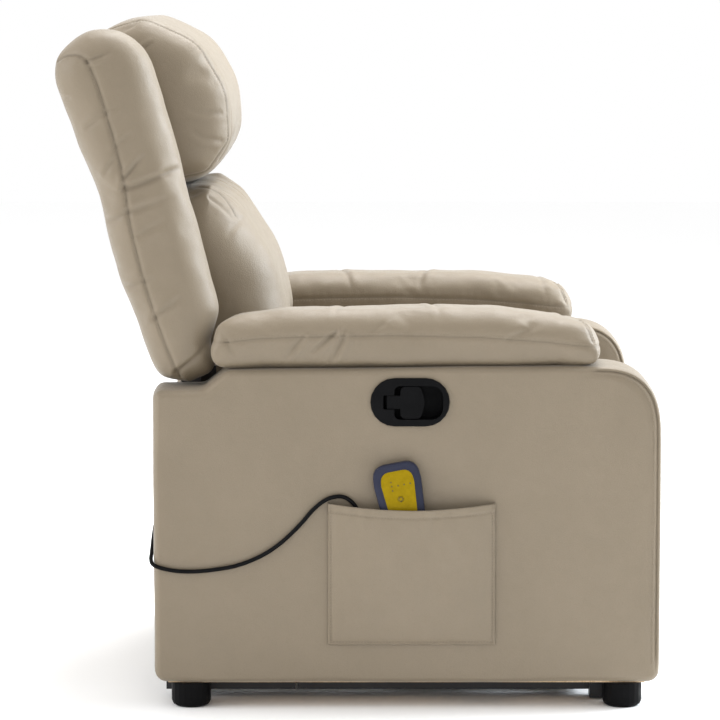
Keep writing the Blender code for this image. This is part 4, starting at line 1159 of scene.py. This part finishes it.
def make_arm(side, mats):
    """An arm's closed padded cover: rings from the middle of the outer face over the edge and
    across the arm to the middle of the inner face."""
    label = "right" if side < 0 else "left"
    outline = arm_outline()
    low = min(p.y for p in outline)
    share = [band_share(p, low) for p in outline]
    # distance inside the outline, depth below the face where the band is seamed, and where not
    profile = [(0.0104, 0.0000, 0.0000), (0.0090, 0.0008, 0.0002), (0.0074, 0.0024, 0.0006),
               (BAND_SEAM, 0.0044, 0.0011), (0.0050, 0.0026, 0.0020), (0.0036, 0.0020, 0.0032),
               (0.0018, 0.0036, 0.0056), (0.0004, 0.0078, 0.0092), (0.0000, 0.0120, 0.0130)]
    rings = [inset_outline(outline, inset) for inset, _, _ in profile]
    core = rings[0]
    centre = Vector([(min(p[k] for p in core) + max(p[k] for p in core)) / 2 for k in (0, 1)])
    steps = 26
    layers = [[(centre.lerp(p, k / steps), 0.0) for p in core] for k in range(1, steps)]
    for ring, (_, seamed, plain) in zip(rings, profile):
        layers.append([(p, plain + (seamed - plain) * w) for p, w in zip(ring, share)])
    bm = bmesh.new()
    fold_shade = []

    def level(layer, base, inward, dark):
        made = []
        for (p, depth), w in zip(layer, share):
            made.append(bm.verts.new((p.x, side * (base + inward * depth), p.y)))
            fold_shade.append(dark * w)
        return made

    # painted shade in the band seam's groove, one value for each ring: darkest at the seam itself, none
    # on the faces
    band_seam_shades = [0.0] * (steps - 1) + [0, 0, 0.25, 1.0, 0.25, 0, 0, 0, 0]
    levels = [level(layer, ARM_FACE, -1, dark) for layer, dark in zip(layers, band_seam_shades)]
    for t in (0.15, 0.35, 0.5, 0.65, 0.85):
        ring = inset_outline(outline, -0.0014 * math.sin(math.pi * t))
        levels.append(level([(p, 0) for p in ring], ARM_FACE + (ARM_INNER - ARM_FACE) * t, 0, 0))
    levels += [level(layer, ARM_INNER, 1, dark) for layer, dark in list(zip(layers, band_seam_shades))[::-1]]
    for one, two in zip(levels, levels[1:]):
        bridge(bm, one, two)
    for ring, y in ((levels[0], ARM_FACE), (levels[-1], ARM_INNER)):
        hub = bm.verts.new((centre.x, side * y, centre.y))
        fold_shade.append(0)
        for a, b in zip(ring, ring[1:] + ring[:1]):
            bm.faces.new((a, b, hub))
    bmesh.ops.recalc_face_normals(bm, faces=bm.faces)
    mesh = finished(bm)
    sewn = Sewn(mesh)
    outer_face = np.abs(np.abs(sewn.co[:, 1]) - ARM_FACE) < 0.0003
    flat = sewn.co[outer_face].copy()
    sewn.waver(0.0016, 9, 15.0 + side)
    sewn.co[outer_face] = flat
    sewn.update()
    if side == RIGHT:
        cut_window(mesh)
    else:
        shade(mesh, fold_shade)
    piece = add_piece(f"arm_panel_{label}", mesh, mats["leather"], "chair", CHAIR)
    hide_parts(f"arm_cover_{label}")
    arm_seams(label, side, outline, share, mats)


def cut_window(mesh):
    """Opens the hole for the release bezel's cup."""
    (x0, x1), (z0, z1) = WINDOW
    outline = rounded([(x0, z0, 0.003), (x1, z0, 0.020), (x1, z1, 0.020), (x0, z1, 0.003)], 5)
    bm = bmesh.new()
    ends = [[bm.verts.new((p.x, y, p.y)) for p in outline] for y in (-0.350, -0.400)]
    bridge(bm, *ends)
    bm.faces.new(ends[0][::-1])
    bm.faces.new(ends[1])
    bmesh.ops.recalc_face_normals(bm, faces=bm.faces)
    target = bpy.data.objects.new("target", mesh)
    cutter = bpy.data.objects.new("cutter", finished(bm))
    for made in (target, cutter):
        bpy.context.scene.collection.objects.link(made)
    modifier = target.modifiers.new("cut", "BOOLEAN")
    modifier.operation = "DIFFERENCE"
    modifier.solver = "EXACT"
    modifier.object = cutter
    evaluated = target.evaluated_get(bpy.context.evaluated_depsgraph_get())
    result = bmesh.new()
    result.from_mesh(evaluated.data)
    result.to_mesh(mesh)
    result.free()
    bpy.data.objects.remove(target)
    bpy.data.objects.remove(cutter)


def arm_seams(label, side, outline, share, mats):
    """The band seam's line, coloured dark as painted shade, and its row of stitches, on both faces of an
    arm.
    """
    lines, threads = bmesh.new(), bmesh.new()
    tree = tree_of(bpy.data.objects[f"arm_panel_{label}"].data)
    run = list(zip(inset_outline(outline, BAND_SEAM), share))
    start = next(i for i, (_, w) in enumerate(run) if w < 0.5)
    run = [p for p, w in run[start:] + run[:start] if w >= 0.5]
    for face, out in ((ARM_FACE, 1), (ARM_INNER, -1)):
        facing = Vector((0, side * out, 0))
        sunk = side * (face - out * 0.0042)
        # painted shade: a thin dark tube sunk into the band seam's groove
        tube(lines, [Vector((p.x, sunk, p.y)) for p in run], SEAM_LINE)
        points = [CHAIR @ Vector((p.x, side * face, p.y)) for p in run]
        stitch_row(threads, tree, points, [facing] * len(points), -0.0058 * side * out)
    name = f"arm_panel_{label}"
    add_piece(f"{name}_seams", finished(lines), mats["seam_shade_line"], "chair", CHAIR)
    add_piece(f"{name}_stitches", finished(threads), mats["thread"], "chair")


# ---- pocket -------------------------------------------------------------------------------
POCKET_X = (-0.047, 0.198)
POCKET_Z = (0.097, 0.307)
POCKET_BULGE, POCKET_SHEET, POCKET_SAG = 0.0225, 0.0018, 0.008
HEM = 0.0115                     # depth of the folded hem along the pocket's mouth
POCKET_STITCH = 0.0042           # the stitching's distance from the pocket's edges


def pocket_point(across, up, lift=0.0):
    """A point of the pocket's outside, from shares of its width and height."""
    x = POCKET_X[0] + (POCKET_X[1] - POCKET_X[0]) * across
    top = POCKET_Z[1] - POCKET_SAG * math.sin(math.pi * across)
    z = POCKET_Z[0] + (top - POCKET_Z[0]) * up
    side = math.sin(math.pi * across)
    rise = math.sin(math.pi / 2 * up)
    bulge = POCKET_BULGE * math.sqrt(max(side, 0) * max(rise, 0))
    edge = min(across, 1 - across, up)
    soft = min(1, edge / 0.10)
    wave = 0.0016 * noise.noise(Vector((x * 16, z * 9, 3.0)))
    wave += 0.0007 * noise.noise(Vector((x * 55, z * 30, 5.0)))
    gather = 0.0012 * math.sin(x * 210 + 2 * math.sin(x * 60)) * min(1, side * 3)
    gather *= math.exp(-((1 - up) / 0.16) ** 2)
    return Vector((x, -ARM_FACE - 0.0005 - bulge - soft * wave - 0.5 * gather - lift, z))


def make_pocket(mats):
    columns, rows = 120, 100
    width, height = POCKET_X[1] - POCKET_X[0], POCKET_Z[1] - POCKET_Z[0]
    bm = bmesh.new()
    outer, inner, fold_shade = [], [], []
    for j in range(rows + 1):
        up = j / rows
        line_out, line_in = [], []
        for i in range(columns + 1):
            across = i / columns
            edge = min(across, 1 - across) * width
            foot = up * height
            hem = (1 - up) * height
            lift = POCKET_SHEET
            if hem < HEM:
                lift += 0.0015 * min(1, (HEM - hem) / 0.0016)
            groove = math.exp(-((hem - HEM - 0.0008) / 0.0011) ** 2)
            rim = min(edge, foot)
            groove = max(groove, math.exp(-((rim - POCKET_STITCH) / 0.0013) ** 2))
            lift -= 0.0008 * groove
            lift += 0.0012 * math.exp(-((rim - 0.0012) / 0.0016) ** 2)
            line_out.append(bm.verts.new(pocket_point(across, up, lift)))
            # painted shade in the grooves of the hem and the stitching
            fold_shade.append(0.4 * groove)
            line_in.append(bm.verts.new(pocket_point(across, up, 0)))
            # painted shade all over the pocket's inner sheet
            fold_shade.append(0.2)
        outer.append(line_out)
        inner.append(line_in)
    for grid in (outer, inner):
        for j in range(rows):
            for i in range(columns):
                here, above = grid[j], grid[j + 1]
                bm.faces.new((here[i], here[i + 1], above[i + 1], above[i]))
    rim = [(0, i) for i in range(columns)] + [(j, columns) for j in range(rows)]
    rim += [(rows, i) for i in range(columns, 0, -1)] + [(j, 0) for j in range(rows, 0, -1)]
    for (j, i), (m, n) in zip(rim, rim[1:] + rim[:1]):
        bm.faces.new((inner[j][i], inner[m][n], outer[m][n], outer[j][i]))
    bmesh.ops.recalc_face_normals(bm, faces=bm.faces)
    mesh = finished(bm)
    shade(mesh, fold_shade)
    piece = add_piece("pocket_cloth", mesh, mats["leather"], "chair", CHAIR)
    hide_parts("remote_pocket")
    threads = pocket_threads(width, height, mats)


def pocket_threads(width, height, mats):
    """Two rows of stitches round the pocket's three sewn sides, and one along the hem."""
    bm = bmesh.new()
    a, b = POCKET_STITCH / width, POCKET_STITCH / height
    hem = 1 - (HEM + 0.0008) / height
    across = [a + (1 - 2 * a) * i / 90 for i in range(91)]
    runs = [  # where the second row lies from the first, the number of rows, and the path
        (1, 0, 2, [(a, 1 - i / 80 * (1 - b)) for i in range(81)]),
        (0, 1, 2, [(u, b) for u in across]),
        (-1, 0, 2, [(1 - a, b + (1 - b) * i / 80) for i in range(81)]),
        (0, 0, 1, [(u, hem) for u in across]),
    ]
    lift = POCKET_SHEET - 0.0004
    for right, above, rows, run in runs:
        for row in range(rows):
            du, dv = 0.0030 * row * right / width, 0.0030 * row * above / height
            path = [pocket_point(u + du, v + dv, lift) for u, v in run]
            for centre, along, _ in paced(path, 0.002, 0.0046):
                stitch(bm, centre, along, Vector((0, -1, 0)), 0.0036, 0.00042)
    return add_piece("pocket_stitches", finished(bm), mats["thread"], "chair", CHAIR)


# ---- remote and cord -------------------------------------------------------------------------
CORD_ROUTE = [
    (-0.2905, -0.2050, 0.2620), (-0.2907, -0.2150, 0.2620), (-0.2945, -0.2320, 0.2614),
    (-0.3025, -0.2500, 0.2595), (-0.3068, -0.2690, 0.2560), (-0.3071, -0.2980, 0.2485),
    (-0.3070, -0.3300, 0.2390), (-0.3070, -0.3560, 0.2290), (-0.3070, -0.3730, 0.2215),
    (-0.3030, -0.3852, 0.2155), (-0.2905, -0.3892, 0.2110), (-0.2700, -0.3890, 0.2070),
    (-0.2450, -0.3890, 0.2060), (-0.2150, -0.3890, 0.2085), (-0.1800, -0.3890, 0.2150),
    (-0.1450, -0.3890, 0.2290), (-0.1150, -0.3890, 0.2490), (-0.0880, -0.3890, 0.2750),
    (-0.0680, -0.3890, 0.2980), (-0.0480, -0.3890, 0.3130), (-0.0270, -0.3890, 0.3170),
    (-0.0110, -0.3892, 0.3080), (-0.0010, -0.3895, 0.2900), (0.0030, -0.3900, 0.2650),
    (0.0040, -0.3905, 0.2350), (0.0080, -0.3910, 0.2050), (0.0170, -0.3908, 0.1780),
    (0.0330, -0.3900, 0.1540), (0.0560, -0.3897, 0.1440), (0.0770, -0.3907, 0.1500),
    (0.0868, -0.3928, 0.1690), (0.0838, -0.3943, 0.1919), (0.08147, -0.3943, 0.2037),
]
CORD_R = 0.003


def make_cord(mats):
    path = [CHAIR @ p for p in smooth_path(CORD_ROUTE, 240)]
    length = sum((b - a).length for a, b in zip(path, path[1:]))
    bm = bmesh.new()
    tube(bm, path, CORD_R, 14)
    piece = add_piece("cord_sheath", finished(bm), mats["cable"], None)
    tuple(path[0])
    [tuple(p) for p in path]
    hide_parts("remote_cord")
    _, y, z = path[-1]
    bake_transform(piece)


def disc(bm, x, z, radius, inner, front, thick=0.00018, steps=28):
    """A thin printed mark on the remote's face: a disc or, with an inner radius, a ring."""
    def level(size, y):
        turns = [2 * math.pi * k / steps for k in range(steps)]
        return [bm.verts.new((x + size * math.cos(t), y, z + size * math.sin(t))) for t in turns]

    under, outer = level(radius, front), level(radius, front - thick)
    bridge(bm, under, outer)
    if inner > 0:
        hole, deep = level(inner, front - thick), level(inner, front)
        for one, two in ((outer, hole), (hole, deep), (deep, under)):
            bridge(bm, one, two)
    else:
        bm.faces.new(outer)
        bm.faces.new(under[::-1])


def print_marks(name, marks, mats, body, front):
    bm = bmesh.new()
    for x, z, radius, inner in marks:
        disc(bm, x, z, radius, inner, front)
    bmesh.ops.recalc_face_normals(bm, faces=bm.faces)
    add_piece(name, finished(bm), mats["ink"], body, REMOTE)


def make_remote(mats):
    """The print beside the remote's lamps and on its power key: plain rings and a dot."""
    face, cap = -0.01622, -0.01752
    lamp, hollow = 0.00110, 0.00035
    lamps = [(-0.0093, z, lamp, hollow) for z in (0.1243, 0.1180, 0.1115)]
    lamps += [(x, 0.1177, lamp, hollow) for x in (0.0, 0.009, 0.018)]
    power = [(0.0, 0.0975, 0.0032, 0.0024), (0.0, 0.0942, 0.0010, 0)]
    print_marks("lamp_marks", lamps, mats, "remote", face)
    print_marks("power_mark", power, mats, "power_key", cap)


# ---- carried-over CAD nodes ---------------------------------------------------------------------
def dress_nodes(mats):
    """Gives every CAD node that still shows its own detailed material."""
    by_slot = {s["node"]: s["material_slot"] for s in frame["record"]["subparts"]}
    for name, made in NODES.items():
        slot = by_slot[name]
        made.data.materials.clear()
        made.data.materials.append(mats[slot])
        if slot != "plywood":
            round_shading(made)
    NODES["power_button"].data.materials[0] = mats["yellow_film"]
    NODES["back_frame"].data.materials[0] = mats["leather"]


def round_shading(made):
    made.data.polygons.foreach_set("use_smooth", np.ones(len(made.data.polygons), bool))
    made.data.set_sharp_from_angle(angle=math.radians(35))


def main():
    make_camera()
    make_studio()
    mats = make_materials()
    make_cord(mats)
    dress_nodes(mats)
    make_wings(mats)
    make_headrest(mats)
    make_lumbar(mats)
    make_back_cover(mats)
    make_arm_pads(mats)
    make_seat(mats)
    make_footrest(mats)
    make_rear_panel(mats)
    for side in (RIGHT, LEFT):
        make_arm(side, mats)
    make_pocket(mats)
    make_remote(mats)
    cad, visual = [[list(corner) for corner in box] for box in (cad_box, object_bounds())]


main()
